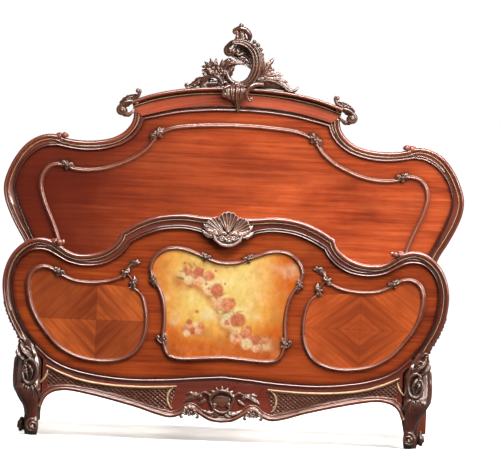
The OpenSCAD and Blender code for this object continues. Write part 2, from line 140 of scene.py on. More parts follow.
# ------------------------------------------------------------------ outlines, mm, right half
FB_OUT_TOP = [[0, 800], [90, 803], [170, 809], [250, 800], [320, 775], [384, 738]]
FB_OUT_DIP = [[384, 738], [392, 714], [412, 690], [446, 668], [490, 655], [535, 653], [570, 663], [598, 682]]
FB_OUT_LOBE = [[598, 682], [628, 698], [668, 707], [710, 698], [752, 668], [784, 620], [800, 553],
               [793, 475], [771, 412], [743, 361], [731, 339]]
FB_IN_TOP = [[0, 706], [30, 709], [56, 722], [85, 742], [125, 754], [170, 758], [240, 750], [300, 728],
             [347, 702]]
FB_IN_DIP = [[347, 702], [362, 677], [395, 645], [445, 620], [510, 612], [565, 622], [610, 645]]
FB_IN_LOBE = [[610, 645], [640, 660], [670, 665], [705, 658], [738, 630], [757, 590], [762, 545],
              [755, 480], [735, 425], [705, 370], [668, 326]]
FB_LOW = [[668, 326], [612, 279], [545, 249], [450, 229], [330, 219], [200, 223], [100, 232], [0, 240]]
APRON_EDGE = [[0, 68], [42, 74], [80, 94], [112, 114], [142, 92], [182, 80], [235, 90], [300, 110],
              [400, 135], [480, 152], [550, 163], [600, 157], [630, 136], [646, 100]]
FILLET = [[163, 193], [220, 188], [300, 185], [400, 188], [500, 201], [575, 224], [633, 251]]
TRELLIS_LOW = [[186, 108], [240, 118], [300, 135], [360, 154], [430, 170], [480, 178], [550, 184],
               [600, 182], [626, 178]]
KIDNEY = [[345, 540], [318, 530], [297, 505], [285, 460], [282, 400], [295, 345], [325, 304], [372, 281],
          [430, 273], [490, 278], [542, 293], [592, 322], [632, 362], [667, 408], [692, 455], [703, 495],
          [707, 532], [702, 567], [685, 592], [655, 603], [625, 597], [600, 583], [578, 570], [540, 556],
          [480, 552], [420, 560], [376, 578], [358, 598], [342, 622], [312, 630]]
PAINTED = [[0, 637], [40, 642], [76, 656], [110, 669], [148, 682], [186, 686], [222, 679], [252, 657],
           [269, 625], [270, 598], [259, 570], [238, 538], [224, 500], [217, 455], [216, 410], [219, 368],
           [213, 335], [202, 308], [180, 295], [140, 291], [70, 296], [0, 301]]
CORNICE_TOP = [[0, 1247], [100, 1244], [200, 1234], [300, 1214], [388, 1185]]
CORNICE_LOW = [[0, 1207], [100, 1203], [200, 1191], [300, 1171], [378, 1146]]
HB_OUT_DIP = [[378, 1146], [380, 1118], [391, 1092], [416, 1065], [455, 1044], [505, 1033], [560, 1030],
              [605, 1034], [632, 1040]]
HB_OUT_LOBE = [[632, 1040], [655, 1048], [685, 1050], [725, 1040], [768, 1012], [805, 965], [832, 910],
               [845, 858], [840, 810], [825, 768], [806, 728], [786, 692], [764, 655], [746, 612],
               [734, 560], [736, 500]]
HB_IN_TOP = [[0, 1160], [100, 1157], [200, 1147], [270, 1133], [338, 1117]]
HB_IN_DIP = [[338, 1117], [350, 1085], [375, 1052], [415, 1024], [465, 1006], [520, 997], [575, 997],
             [625, 1004], [655, 1010]]
HB_IN_LOBE = [[655, 1010], [700, 1003], [742, 978], [776, 938], [796, 892], [802, 850], [792, 808],
              [772, 760], [748, 708], [722, 655], [702, 600], [688, 548], [680, 500]]
HEAD_BEAD = [[0, 1105], [100, 1102], [200, 1093], [250, 1081], [286, 1062], [302, 1040], [322, 1013],
             [362, 980], [420, 950], [480, 930], [540, 922], [590, 925], [618, 936], [650, 940], [682, 930],
             [703, 903], [710, 870], [705, 835], [690, 790], [670, 745], [653, 705], [638, 660], [626, 610],
             [614, 565], [580, 530], [500, 512], [400, 506], [0, 500]]


# ------------------------------------------------------------------ mesh building
class Build:
    """Collects faces in millimetres, with a texture coordinate for each face corner."""

    def __init__(self):
        self.v, self.f, self.uv = [], [], []

    def add(self, verts, faces, uvs=None):
        base = len(self.v)
        self.v.extend(np.asarray(verts, float).tolist())
        self.f.extend([tuple(base + i for i in face) for face in faces])
        self.uv.extend(uvs if uvs else [[(0.0, 0.0)] * len(face) for face in faces])

    def grid(self, g, u=None, v=None, wrap=False, caps=False):
        """g is an array of rows by columns by xyz. wrap joins the last column to the first."""
        n, m = g.shape[:2]
        u = lengths(g[:, 0]) if u is None else u
        v = np.arange(m + 1) * 4.0 if v is None else v
        faces, uvs = [], []
        for i in range(n - 1):
            for j in range(m if wrap else m - 1):
                k = (j + 1) % m
                faces.append((i * m + j, i * m + k, (i + 1) * m + k, (i + 1) * m + j))
                uvs.append([(u[i], v[j]), (u[i], v[j + 1]), (u[i + 1], v[j + 1]), (u[i + 1], v[j])])
        if caps:
            faces.append(tuple(range(m))[::-1])
            faces.append(tuple((n - 1) * m + j for j in range(m)))
            uvs.append([(u[0], v[j]) for j in range(m)][::-1])
            uvs.append([(u[-1], v[j]) for j in range(m)])
        self.add(g.reshape(-1, 3), faces, uvs)

    def mirrored(self):
        other = Build()
        other.v = [[-x, y, z] for x, y, z in self.v]
        other.f = [tuple(reversed(f)) for f in self.f]
        other.uv = [list(reversed(t)) for t in self.uv]
        return other

    def join(self, other):
        self.add(other.v, other.f, other.uv)


def piece(name, built, kind, nodes=(), angle=38, remesh=0.0, smooth=0):
    """Makes the object, fixes its normals, and parents it under the root empty. nodes are the CAD nodes that
    it stands for, which are hidden. angle is where an edge turns sharp, and remesh is a voxel size in mm."""
    mesh = bpy.data.meshes.new(name)
    mesh.from_pydata((np.array(built.v) * MM).tolist(), [], built.f)
    layer = mesh.uv_layers.new(name="UVMap")
    layer.data.foreach_set("uv", (np.array([c for t in built.uv for c in t]) * MM).ravel())
    obj = bpy.data.objects.new(name, mesh)
    bpy.context.scene.collection.objects.link(obj)
    bm = bmesh.new()
    bm.from_mesh(mesh)
    bmesh.ops.remove_doubles(bm, verts=bm.verts, dist=MERGE)
    bmesh.ops.recalc_face_normals(bm, faces=bm.faces)
    bm.to_mesh(mesh)
    bm.free()
    if remesh:
        mod = obj.modifiers.new("fuse", "REMESH")
        mod.mode = "VOXEL"
        mod.voxel_size = remesh * MM
        mod = obj.modifiers.new("soften", "SMOOTH")
        mod.factor = 0.5
        mod.iterations = smooth
        bpy.context.view_layer.update()
        done = bpy.data.meshes.new_from_object(obj.evaluated_get(bpy.context.evaluated_depsgraph_get()))
        obj.modifiers.clear()
        obj.data = done
        done.name = name
    mesh = obj.data
    mesh.materials.clear()
    mesh.materials.append(MAT[kind])
    mesh.polygons.foreach_set("use_smooth", [True] * len(mesh.polygons))
    if not remesh:
        mesh.set_sharp_from_angle(angle=math.radians(angle))
    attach(obj, "root")
    if nodes:
        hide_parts(*nodes)
    return obj


def arc(ca, cd, r, start, end, n=9):
    """Points of an arc in a moulding's section: across and depth."""
    return [(ca + r * math.cos(math.radians(a)), cd + r * math.sin(math.radians(a)))
            for a in np.linspace(start, end, n)]


def moulding(built, outer, inner, section, y):
    """A frame moulding between two curves. section holds ("o" or "i", across, depth): the distance is
    taken from the outer or from the inner curve, so the members keep their width."""
    n = len(outer)
    d = inner - outer
    d = d / np.maximum(np.linalg.norm(d, axis=1), 1e-6)[:, None]
    g = np.zeros((n, len(section), 3))
    for j, (side, across, depth) in enumerate(section):
        p = outer + d * across if side == "o" else inner - d * across
        g[:, j, 0], g[:, j, 1], g[:, j, 2] = p[:, 0], y + depth, p[:, 1]
    mid = g[n // 2]
    v = np.r_[lengths(mid), lengths(mid)[-1] + 10]
    built.grid(g, u=lengths(outer), v=v, wrap=True, caps=True)


def tube(built, path, width, rise=None, k=12):
    """A solid of elliptical section along a path of (x, z, h), h being towards the front.
    width and rise are half sizes in the board's plane and out of it: numbers or a value per point."""
    path = np.asarray(path, float)
    width, rise = stretch(width, len(path)), stretch(width if rise is None else rise, len(path))
    t, side, up = axes_along(path, 0.15)
    a = np.linspace(0, 2 * np.pi, k, endpoint=False)
    g = (path[:, None] + side[:, None] * (width[:, None] * np.cos(a))[..., None]
         + up[:, None] * (rise[:, None] * np.sin(a))[..., None])
    first = path[0] - t[0] * width[0] * 0.5
    last = path[-1] + t[-1] * width[-1] * 0.5
    g = np.concatenate([(first + (g[:1] - path[0]) * 0.6), g, (last + (g[-1:] - path[-1]) * 0.6)])
    built.grid(g, wrap=True, caps=True)


def ball(built, c, r, squash=1.0):
    """A ball at (x, z, h), flattened by squash."""
    lat = np.linspace(-np.pi / 2, np.pi / 2, BALL_ROWS)[1:-1]
    lon = np.linspace(0, 2 * np.pi, 2 * BALL_ROWS, endpoint=False)
    g = np.array([[[c[0] + r * np.cos(p) * np.cos(q), c[1] + r * np.cos(p) * np.sin(q),
                    c[2] + r * squash * np.sin(p)] for q in lon] for p in lat])
    built.grid(g, wrap=True, caps=True)


def spiral(c, start, r0, r1, turns, way, h0=0.0, h1=0.0):
    """Points (x, z, h) of a spiral in the board's plane, from the radius r0 at angle start to r1."""
    n = max(8, int(abs(turns) * 360 / SPIRAL_STEP))
    s = np.linspace(0, 1, n)
    a = math.radians(start) + way * s * turns * 2 * np.pi
    r = r0 + (r1 - r0) * s ** 0.9
    return np.column_stack([c[0] + r * np.cos(a), c[1] + r * np.sin(a), h0 + (h1 - h0) * s])


def leaf(built, path, width, thick=4.0, lobes=4, cup=0.35, vein=0.25, cut=0.28, rows=26, cols=11, tip=0.12):
    """An acanthus leaf on a path of (x, z, h): scalloped edge, sunk mid vein, raised lobes."""
    p = even(curve(path, 4.0), rows)
    s = np.linspace(0, 1, len(p))
    _, side, up = axes_along(p, 0.1)
    env = np.interp(s, [0, 0.12, 0.45, 0.8, 1], [0.45, 0.8, 1.0, 0.62, tip])
    saw = (s * lobes) % 1.0
    half = width * env * (1 - cut * saw ** 1.5)
    j = np.linspace(-1, 1, cols)
    rib = np.cos(j[None, :] * np.pi * 1.5 - saw[:, None] * 1.2) * 0.12 * width
    lift = (-cup * width * np.abs(j)[None, :] ** 1.8 * env[:, None]
            - vein * width * np.exp(-(j[None, :] / 0.16) ** 2) * env[:, None]
            + rib * env[:, None])
    top = p[:, None] + side[:, None] * (half[:, None] * j[None, :])[..., None] + up[:, None] * lift[..., None]
    bottom = top - up[:, None] * thick
    ring = np.concatenate([top, bottom[:, ::-1]], axis=1)
    built.grid(ring, wrap=True, caps=True)


def flower(built, c, r, petals=5, h=6.0, turn=0.0):
    for k in range(petals):
        a = turn + 2 * np.pi * k / petals
        d = np.array([math.cos(a), math.sin(a)])
        pts = [[c[0] + d[0] * r * q, c[1] + d[1] * r * q, c[2] + w]
               for q, w in ((0.1, h * 0.5), (0.45, h * 0.9), (0.8, h), (1.0, h * 0.55))]
        leaf(built, pts, r * 0.48, thick=3, lobes=1, cup=-0.3, vein=0.1, cut=0.1, rows=10, cols=7, tip=0.5)
    ball(built, (c[0], c[1], c[2] + h * 0.8), r * 0.24)


def c_scroll(built, pts, width, rise=0.9, curl_a=None, curl_b=None):
    """A scroll through (x, z, h) points; each curl is (radius, turns, way) added at that end."""
    p = curve(pts, 4.0)

    def end_curl(last, t, curl):
        r, turns, way = curl
        nrm = np.array([-t[1], t[0]]) * way
        c = last[:2] + nrm * r
        start = math.degrees(math.atan2(-nrm[1], -nrm[0]))
        q = spiral(c, start, r, r * 0.18, turns, way, last[2], last[2] + r * 0.35)
        return q[1:], c

    ws = stretch(width, len(p))
    for curl in (curl_b, curl_a):
        if curl:
            t = p[-1][:2] - p[-2][:2]
            q, c = end_curl(p[-1], t / np.linalg.norm(t), curl)
            ws = np.r_[ws, np.linspace(ws[-1], ws[-1] * 0.55, len(q))]
            p = np.vstack([p, q])
            ball(built, (c[0], c[1], q[-1][2] + 1), curl[0] * 0.36)
        p, ws = p[::-1], ws[::-1]
    tube(built, p, ws, ws * rise)


def to_board(built, y):
    """Turns local (x, z, h) points into the bed's own (x, y, z), with h mm in front of the plane y."""
    built.v = [[x, y - h, z] for x, z, h in built.v]
    return built


def plate(built, outline, y0, y1):
    """A flat plate from y0 to y1 with an outline in the board's plane."""
    n = len(outline)
    v = [[x, y0, z] for x, z in outline] + [[x, y1, z] for x, z in outline]
    sides = [(i, (i + 1) % n, n + (i + 1) % n, n + i) for i in range(n)]
    built.add(v, [tuple(range(n)), tuple(range(2 * n - 1, n - 1, -1))] + sides)


def bead_path(built, path, y, w, h, scale=1.0):
    """An applied bead along a curve in the board's plane: a round nose between two small quirks."""
    path = np.asarray(path, float)
    half = [(-0.5, 0.0), (-0.5, 0.12), (-0.42, 0.26), (-0.36, 0.28)]
    nose = [(0.34 * -math.cos(a), 0.3 + 0.7 * math.sin(a)) for a in np.linspace(0.15, math.pi - 0.15, 11)]
    sec = half + nose + [(-a, b) for a, b in half[::-1]]
    k = stretch(scale, len(path))
    nn = normals(path)
    g = np.zeros((len(path), len(sec), 3))
    for j, (a, b) in enumerate(sec):
        q = path + nn * (a * w * k)[:, None]
        g[:, j, 0], g[:, j, 1], g[:, j, 2] = q[:, 0], y - b * h * k, q[:, 1]
    built.grid(g, u=lengths(path), wrap=True, caps=True)


# ------------------------------------------------------------------ materials
def linear(rgb):
    c = np.array(rgb, float) / 255
    return tuple(np.where(c <= 0.04045, c / 12.92, ((c + 0.055) / 1.055) ** 2.4)) + (1.0,)


class Shader:
    """A small helper for node trees: every method returns the output socket of a new node."""

    def __init__(self, name):
        self.material = bpy.data.materials.new(name)
        self.material.use_nodes = True
        self.tree = self.material.node_tree
        self.tree.nodes.clear()
        self.bsdf = self.tree.nodes.new("ShaderNodeBsdfPrincipled")
        out = self.tree.nodes.new("ShaderNodeOutputMaterial")
        self.tree.links.new(self.bsdf.outputs[0], out.inputs[0])

    def put(self, socket, value):
        if isinstance(value, bpy.types.NodeSocket):
            self.tree.links.new(value, socket)
        else:
            socket.default_value = value

    def node(self, kind, out=0, sets=(), **inputs):
        n = self.tree.nodes.new(kind)
        for key, value in sets:
            setattr(n, key, value)
        for key, value in inputs.items():
            self.put(n.inputs[int(key[1:]) if key[1:].isdigit() else key.replace("_", " ")], value)
        return n.outputs[out]

    def coords(self, kind="Object"):
        n = self.tree.nodes.new("ShaderNodeTexCoord")
        return n.outputs[kind]

    def mapped(self, vector, scale, offset=(0, 0, 0), turn=(0, 0, 0)):
        return self.node("ShaderNodeMapping", i0=vector, i1=offset, i2=turn, i3=scale)

    def noise(self, vector, scale=1.0, detail=6.0, rough=0.55, distortion=0.0):
        return self.node("ShaderNodeTexNoise", 0, Vector=vector, Scale=scale, Detail=detail,
                         Roughness=rough, Distortion=distortion)

    def ramp(self, factor, stops):
        n = self.tree.nodes.new("ShaderNodeValToRGB")
        e = n.color_ramp.elements
        while len(e) < len(stops):
            e.new(0.5)
        for element, (at, colour) in zip(e, stops):
            element.position = at
            element.color = colour if len(np.shape(colour)) else (colour,) * 3 + (1,)
        self.put(n.inputs[0], factor)
        return n.outputs[0]

    def mix(self, factor, a, b):
        n = self.tree.nodes.new("ShaderNodeMix")
        n.data_type = "RGBA"
        self.put(n.inputs[0], factor)
        self.put(n.inputs[6], a)
        self.put(n.inputs[7], b)
        return n.outputs[2]

    def math(self, op, a, b=0.0, c=0.0):
        return self.node("ShaderNodeMath", sets=[("operation", op)], i0=a, i1=b, i2=c)

    def pointiness(self, lo, hi):
        n = self.tree.nodes.new("ShaderNodeNewGeometry")
        return self.ramp(n.outputs["Pointiness"], [(lo, 0.0), (hi, 1.0)])

    def finish(self, colour, rough, bump=None, strength=0.15, distance=0.001, coat=0.0, coat_rough=0.1,
               metal=0.0, specular=0.5):
        b = self.bsdf.inputs
        self.put(b["Base Color"], colour)
        self.put(b["Roughness"], rough)
        b["Metallic"].default_value = metal
        b["Specular IOR Level"].default_value = specular
        b["Coat Weight"].default_value = coat
        b["Coat Roughness"].default_value = coat_rough
        if bump is not None:
            n = self.node("ShaderNodeBump", Strength=strength, Distance=distance, Height=bump)
            self.put(b["Normal"], n)
        return self.material


def wood_colours(sh, vec, dark, mid, light, fine=1.0):
    """Grain along the first axis of vec. Returns the colour and a height for the bump."""
    figure = sh.noise(sh.mapped(vec, (1.3, 9, 9)), 1.0, 5, 0.6, 0.6)
    grain = sh.noise(sh.mapped(vec, (3.0, 95 * fine, 95 * fine)), 1.0, 7, 0.62, 0.25)
    pores = sh.noise(sh.mapped(vec, (28.0, 620 * fine, 620 * fine)), 1.0, 3, 0.6)
    blotch = sh.noise(sh.mapped(vec, (2.1, 3.3, 3.3)), 1.0, 3, 0.5)
    tone = sh.math("MULTIPLY_ADD", grain, 0.55, sh.math("MULTIPLY", figure, 0.55))
    colour = sh.ramp(tone, [(0.36, dark), (0.54, mid), (0.74, light)])
    colour = sh.mix(sh.ramp(blotch, [(0.3, 0.0), (0.7, 0.35)]), colour, sh.mix(0.5, colour, light))
    colour = sh.mix(sh.ramp(pores, [(0.30, 0.45), (0.42, 0.0)]), colour, dark)
    cloud = sh.noise(sh.mapped(vec, (1.6, 4.2, 4.2), offset=(3.1, 0.7, 1.9)), 1.0, 4, 0.6, 0.8)
    colour = sh.mix(sh.ramp(cloud, [(0.34, 0.5), (0.56, 0.0)]), colour, dark)
    return colour, sh.math("ADD", grain, sh.math("MULTIPLY", pores, 0.6))


def wood(name, dark, mid, light, kind="Object", turn=(0, 0, 0), rough=0.3, coat=0.5, coat_rough=0.09,
         hollow=0.0, hollow_shade_colour=None, reach=0.022, full=0.25, clear=0.85,
         ridge=0.0, ridge_wear_and_highlight_colour=None, lo=0.46, hi=0.54, specular=0.5, painted_left_shade=0.0):
    """Polished wood. hollow darkens what lies deep as painted shade, ridge lightens sharp edges as partly
    edge wear and partly painted highlight, and the left option darkens the left side as painted shade.
    """
    sh = Shader(name)
    vec = sh.mapped(sh.coords(kind), (1, 1, 1), turn=turn)
    colour, height = wood_colours(sh, vec, linear(dark), linear(mid), linear(light))
    smear = sh.noise(sh.coords("Object"), 14.0, 4, 0.6)
    # painted shade: the left side is darkened, standing in for less light falling there
    if painted_left_shade:
        xyz = sh.tree.nodes.new("ShaderNodeSeparateXYZ")
        sh.put(xyz.inputs[0], sh.coords("Object"))
        drift = sh.math("MULTIPLY_ADD", sh.noise(sh.coords("Object"), 3.0, 4, 0.6), 0.5, xyz.outputs[0])
        side = sh.ramp(sh.math("ADD", drift, 0.45), [(0.08, painted_left_shade), (0.74, 0.0)])
        colour = sh.mix(side, colour, linear(dark))
    # painted shade: ambient occlusion darkens recesses, creases and the field beside the mouldings, where
    # shade falls
    if hollow:
        sunk = sh.node("ShaderNodeAmbientOcclusion", 1, sets=[("samples", 6)], Distance=reach)
        depth = sh.ramp(sunk, [(full, hollow), (clear, 0.0)])
        colour = sh.mix(depth, colour, linear(hollow_shade_colour))
    # partly edge wear, partly painted highlight: sharp edges and bead tops are lightened towards a pale
    # pinkish colour
    if ridge:
        worn = sh.math("MULTIPLY", sh.pointiness(lo, hi), ridge)
        worn = sh.math("MULTIPLY", worn, sh.ramp(smear, [(0.25, 0.35), (0.65, 1.0)]))
        colour = sh.mix(worn, colour, linear(ridge_wear_and_highlight_colour))
    roughness = sh.ramp(smear, [(0.25, rough - 0.07), (0.75, rough + 0.1)])
    return sh.finish(colour, roughness, height, 0.12, 0.0006, coat, coat_rough, specular=specular)


def quartered(name, cx, cz, split, band, squash, dark, mid, light):
    """Veneer whose grain meets in four quarters at (cx, cz), metres. split darkens two of them."""
    sh = Shader(name)
    xyz = sh.tree.nodes.new("ShaderNodeSeparateXYZ")
    sh.put(xyz.inputs[0], sh.coords("Object"))
    x = sh.math("SUBTRACT", xyz.outputs[0], cx)
    z = sh.math("SUBTRACT", xyz.outputs[2], cz)
    ax, az = sh.math("ABSOLUTE", x), sh.math("ABSOLUTE", z)
    wide = sh.math("MULTIPLY", ax, squash)
    across = sh.math("ADD", wide, az)
    along = sh.math("SUBTRACT", wide, az)
    vec = sh.node("ShaderNodeCombineXYZ", X=along, Y=across, Z=xyz.outputs[1])
    colour, height = wood_colours(sh, vec, linear(dark), linear(mid), linear(light), 0.62)
    bands = sh.noise(sh.mapped(vec, (0.8, 42, 42)), 1.0, 2, 0.5)
    colour = sh.mix(sh.ramp(bands, [(0.38, band), (0.62, 0.0)]), colour, linear(dark))
    side = sh.math("LESS_THAN", sh.math("MULTIPLY", x, z), 0.0)
    colour = sh.mix(sh.math("MULTIPLY", side, split), colour, linear(dark))
    seam = sh.math("LESS_THAN", sh.math("MINIMUM", ax, az), 0.0007)
    colour = sh.mix(sh.math("MULTIPLY", seam, 0.35), colour, linear((60, 22, 14)))
    smear = sh.noise(sh.coords("Object"), 11.0, 4, 0.6)
    return sh.finish(colour, sh.ramp(smear, [(0.25, 0.26), (0.75, 0.42)]), height, 0.1, 0.0006, 0.16, 0.1,
                     specular=0.14)


FIELD_DARK, FIELD_MID, FIELD_LIGHT = (84, 24, 10), (166, 66, 24), (214, 102, 46)
# FLAT paints shade on the fields beside the mouldings; GLOSSY paints shade in hollows and a partly painted
# highlight on ridges; PLANED paints light shade in the pine's recesses
FLAT = dict(rough=0.36, coat=0.16, hollow=0.9, hollow_shade_colour=(44, 11, 6), reach=0.05, full=0.5, clear=0.97)
GLOSSY = dict(kind="UV", coat=1.0, coat_rough=0.1, hollow=1.0, full=0.42, clear=0.95, ridge=0.5)
PINE = ((176, 128, 76), (208, 164, 108), (228, 190, 138))
PLANED = dict(rough=0.55, coat=0.05, hollow=0.5, hollow_shade_colour=(120, 80, 46))
MAT = {}
MAT["field"] = wood("mahogany_field", FIELD_DARK, FIELD_MID, FIELD_LIGHT, specular=0.1, **FLAT)
# painted shade: the head field is darkened towards its left
MAT["head_field"] = wood("mahogany_head_field", (90, 26, 14), (178, 72, 33), (222, 110, 60), specular=0.08,
                         painted_left_shade=0.85, **FLAT)
# painted highlight: the frieze is a lighter copy of the mahogany, standing in for light on its flat band; its
# hollow setting paints shade too
MAT["frieze"] = wood("mahogany_frieze", (118, 44, 26), (186, 84, 54), (218, 122, 90), kind="UV", rough=0.32,
                     coat=0.5, coat_rough=0.12, hollow=0.9, hollow_shade_colour=(44, 12, 8), reach=0.04, full=0.4,
                     clear=0.9, specular=0.2)
# apron to shell: hollow paints shade into recesses; all but the apron lighten their ridges towards a pale
# colour, partly edge wear and partly painted highlight
MAT["apron"] = wood("mahogany_apron", (74, 22, 13), (122, 42, 25), (150, 62, 38), rough=0.3, hollow=0.8,
                    hollow_shade_colour=(38, 12, 8))
MAT["moulding"] = wood("mahogany_moulding", (74, 23, 13), (130, 48, 28), (176, 80, 50), rough=0.3,
                       hollow_shade_colour=(28, 8, 5), ridge_wear_and_highlight_colour=(240, 172, 142), lo=0.515, hi=0.59, **GLOSSY)
MAT["bead"] = wood("mahogany_bead", (90, 32, 18), (146, 62, 38), (190, 100, 68), rough=0.28,
                   hollow_shade_colour=(32, 10, 6), ridge_wear_and_highlight_colour=(244, 190, 160), lo=0.51, hi=0.58, **GLOSSY)
MAT["knob"] = wood("mahogany_knob", (100, 36, 20), (156, 66, 42), (196, 104, 74), rough=0.38, coat=0.4,
                   coat_rough=0.25, hollow=1.0, hollow_shade_colour=(36, 11, 6), full=0.4, clear=0.93, ridge=0.5,
                   ridge_wear_and_highlight_colour=(244, 190, 160), lo=0.505, hi=0.56)
MAT["lattice"] = wood("mahogany_lattice", (44, 16, 10), (84, 34, 20), (122, 56, 34), rough=0.36, coat=0.25,
                      hollow=0.9, hollow_shade_colour=(22, 7, 5), ridge=0.7, ridge_wear_and_highlight_colour=(186, 116, 80),
                      lo=0.505, hi=0.56, specular=0.3)
MAT["carving"] = wood("carved_walnut_mahogany", (38, 17, 12), (86, 42, 28), (142, 88, 64), rough=0.3,
                      coat=0.75, coat_rough=0.12, hollow=1.0, hollow_shade_colour=(12, 5, 4), reach=0.024,
                      full=0.46, clear=0.97, ridge=0.7, ridge_wear_and_highlight_colour=(222, 176, 146), lo=0.508, hi=0.56,
                      specular=0.35)
MAT["shell"] = wood("carved_shell", (78, 38, 28), (142, 84, 64), (204, 150, 126), rough=0.3, coat=1.0,
                    coat_rough=0.12, hollow=1.0, hollow_shade_colour=(16, 6, 5), reach=0.018, full=0.4,
                    clear=0.94, ridge=1.0, ridge_wear_and_highlight_colour=(250, 226, 210), lo=0.5, hi=0.54)
MAT["rail"] = wood("mahogany_rail", FIELD_DARK, (146, 58, 32), FIELD_LIGHT, turn=(0, 0, math.pi / 2),
                   rough=0.32)
MAT["post"] = wood("mahogany_post", (84, 30, 18), (134, 54, 32), (170, 84, 54), turn=(0, math.pi / 2, 0),
                   rough=0.3, coat=0.6)
# painted shade in the leg's hollows, and a pale ridge colour that is partly edge wear, partly painted
# highlight
MAT["leg"] = wood("mahogany_leg", (50, 18, 12), (88, 34, 23), (132, 64, 46), turn=(0, math.pi / 2, 0),
                  rough=0.26, coat=0.9, hollow=1.0, hollow_shade_colour=(16, 6, 4), reach=0.022, full=0.44,
                  clear=0.95, ridge=0.75, ridge_wear_and_highlight_colour=(226, 178, 152), lo=0.502, hi=0.55)
MAT["pine"] = wood("planed_pine", *PINE, **PLANED)
MAT["pine_long"] = wood("planed_pine_long", *PINE, turn=(0, 0, math.pi / 2), **PLANED)
MAT["quarter_left"] = quartered("quartered_veneer_left", -0.46, 0.42, 0.5, 0.12, 1.0, (112, 42, 20),
                                (208, 98, 42), (232, 126, 62))
MAT["quarter_right"] = quartered("quartered_veneer_right", 0.485, 0.42, 0.0, 0.28, 0.76, (122, 46, 20),
                                 (204, 90, 38), (230, 118, 56))


def gilt_material():
    sh = Shader("worn_gilt")
    vec = sh.coords("Object")
    worn = sh.noise(vec, 60.0, 6, 0.65)
    colour = sh.ramp(worn, [(0.3, linear((170, 108, 64))), (0.45, linear((228, 182, 126))),
                            (0.75, linear((250, 222, 176)))])
    edge = sh.pointiness(0.5, 0.6)
    colour = sh.mix(sh.math("MULTIPLY", edge, 0.6), colour, linear((255, 232, 184)))
    return sh.finish(colour, sh.ramp(worn, [(0.3, 0.5), (0.7, 0.28)]), worn, 0.2, 0.0006, 0.25, 0.2)


def iron_material():
    sh = Shader("dull_iron")
    n = sh.noise(sh.coords("Object"), 90.0, 6, 0.6)
    colour = sh.ramp(n, [(0.3, linear((44, 40, 38))), (0.6, linear((84, 78, 74))),
                         (0.8, linear((120, 92, 70)))])
    return sh.finish(colour, sh.ramp(n, [(0.3, 0.38), (0.7, 0.65)]), n, 0.25, 0.0006, metal=0.85)


def paint_material():
    sh = Shader("varnished_painting")
    n = sh.tree.nodes.new("ShaderNodeVertexColor")
    n.layer_name = "paint"
    vec = sh.coords("Object")
    strokes = sh.noise(sh.mapped(vec, (70, 60, 46), turn=(0, 0.5, 0)), 1.0, 5, 0.6, 0.4)
    cracks = sh.node("ShaderNodeTexVoronoi", 0, sets=[("feature", "DISTANCE_TO_EDGE")], Vector=vec,
                     Scale=70.0)
    colour = sh.mix(sh.ramp(strokes, [(0.3, 0.14), (0.6, 0.0)]), n.outputs[0], linear((168, 92, 36)))
    colour = sh.mix(sh.ramp(strokes, [(0.5, 0.0), (0.8, 0.12)]), colour, linear((255, 238, 196)))
    colour = sh.mix(sh.ramp(cracks, [(0.0, 0.22), (0.012, 0.0)]), colour, linear((120, 66, 28)))
    return sh.finish(colour, sh.ramp(strokes, [(0.3, 0.24), (0.7, 0.4)]), strokes, 0.12, 0.0008, 0.15, 0.12,
                     specular=0.25)


MAT["gilt"] = gilt_material()
MAT["iron"] = iron_material()
MAT["paint"] = paint_material()


# ------------------------------------------------------------------ sections of the mouldings
def frame_section():
    """Outer nose, fillet, wide hollow, inner bead; measured from the outer and the inner curve."""
    s = [("o", 4, FRAME_T), ("o", 1, FRAME_T - 1.2), ("o", 0, FRAME_T - 4), ("o", 0, 16)]
    s += [("o", a, d) for a, d in arc(8.0, 8.2, 8.2, 172, 350, 13)]
    s += [("o", 16.6, 11.0), ("o", 17.4, 11.2), ("o", 17.6, 8.2), ("o", 18.4, 7.6), ("o", 20.4, 7.6),
          ("o", 21.2, 8.3), ("o", 21.6, 10.6), ("o", 24.0, 12.0)]
    s += [("i", 14.0, 13.2), ("i", 12.2, 12.4), ("i", 11.4, 11.0), ("i", 11.2, 7.6)]
    s += [("i", a, d) for a, d in arc(5.6, 5.4, 5.4, 12, 168, 11)]
    s += [("i", 0.0, 9.0), ("i", 0.0, FRAME_T - 4), ("i", 1, FRAME_T - 1.2), ("i", 4, FRAME_T)]
    return s


def lower_section():
    s = [("o", 0, 40), ("o", 0, 14.0), ("o", 0.8, 13.0), ("o", 2.4, 12.4), ("i", 14.6, 12.0),
         ("i", 12.4, 11.4), ("i", 11.4, 10.2), ("i", 11.2, 7.6)]
    s += [("i", a, d) for a, d in arc(5.6, 5.4, 5.4, 12, 168, 11)]
    return s + [("i", 0, 9.0), ("i", 0, 40)]


def cornice_section():
    """Overhanging nose and a short cove, then the top of the flat frieze."""
    s = [("o", 3, FRAME_T), ("o", 0, FRAME_T - 3), ("o", 0, -20)]
    s += [("o", a, d) for a, d in arc(5.5, -24.0, 5.6, 180, 355, 10)]
    s += [("o", 11.6, -21.5), ("o", 12.2, -16.0)]
    s += [("o", 12.6 + 6.0 * (1 - math.cos(a)), -15.0 + 17.0 * math.sin(a)) for a in np.linspace(0.05, 1.5,
                                                                                                 7)]
    s += [("o", a, d) for a, d in arc(22.5, 3.6, 2.6, 160, 350, 6)]
    return s + [("o", 25.6, FRIEZE + 3), ("i", 0, FRIEZE + 3), ("i", 0, FRAME_T)]


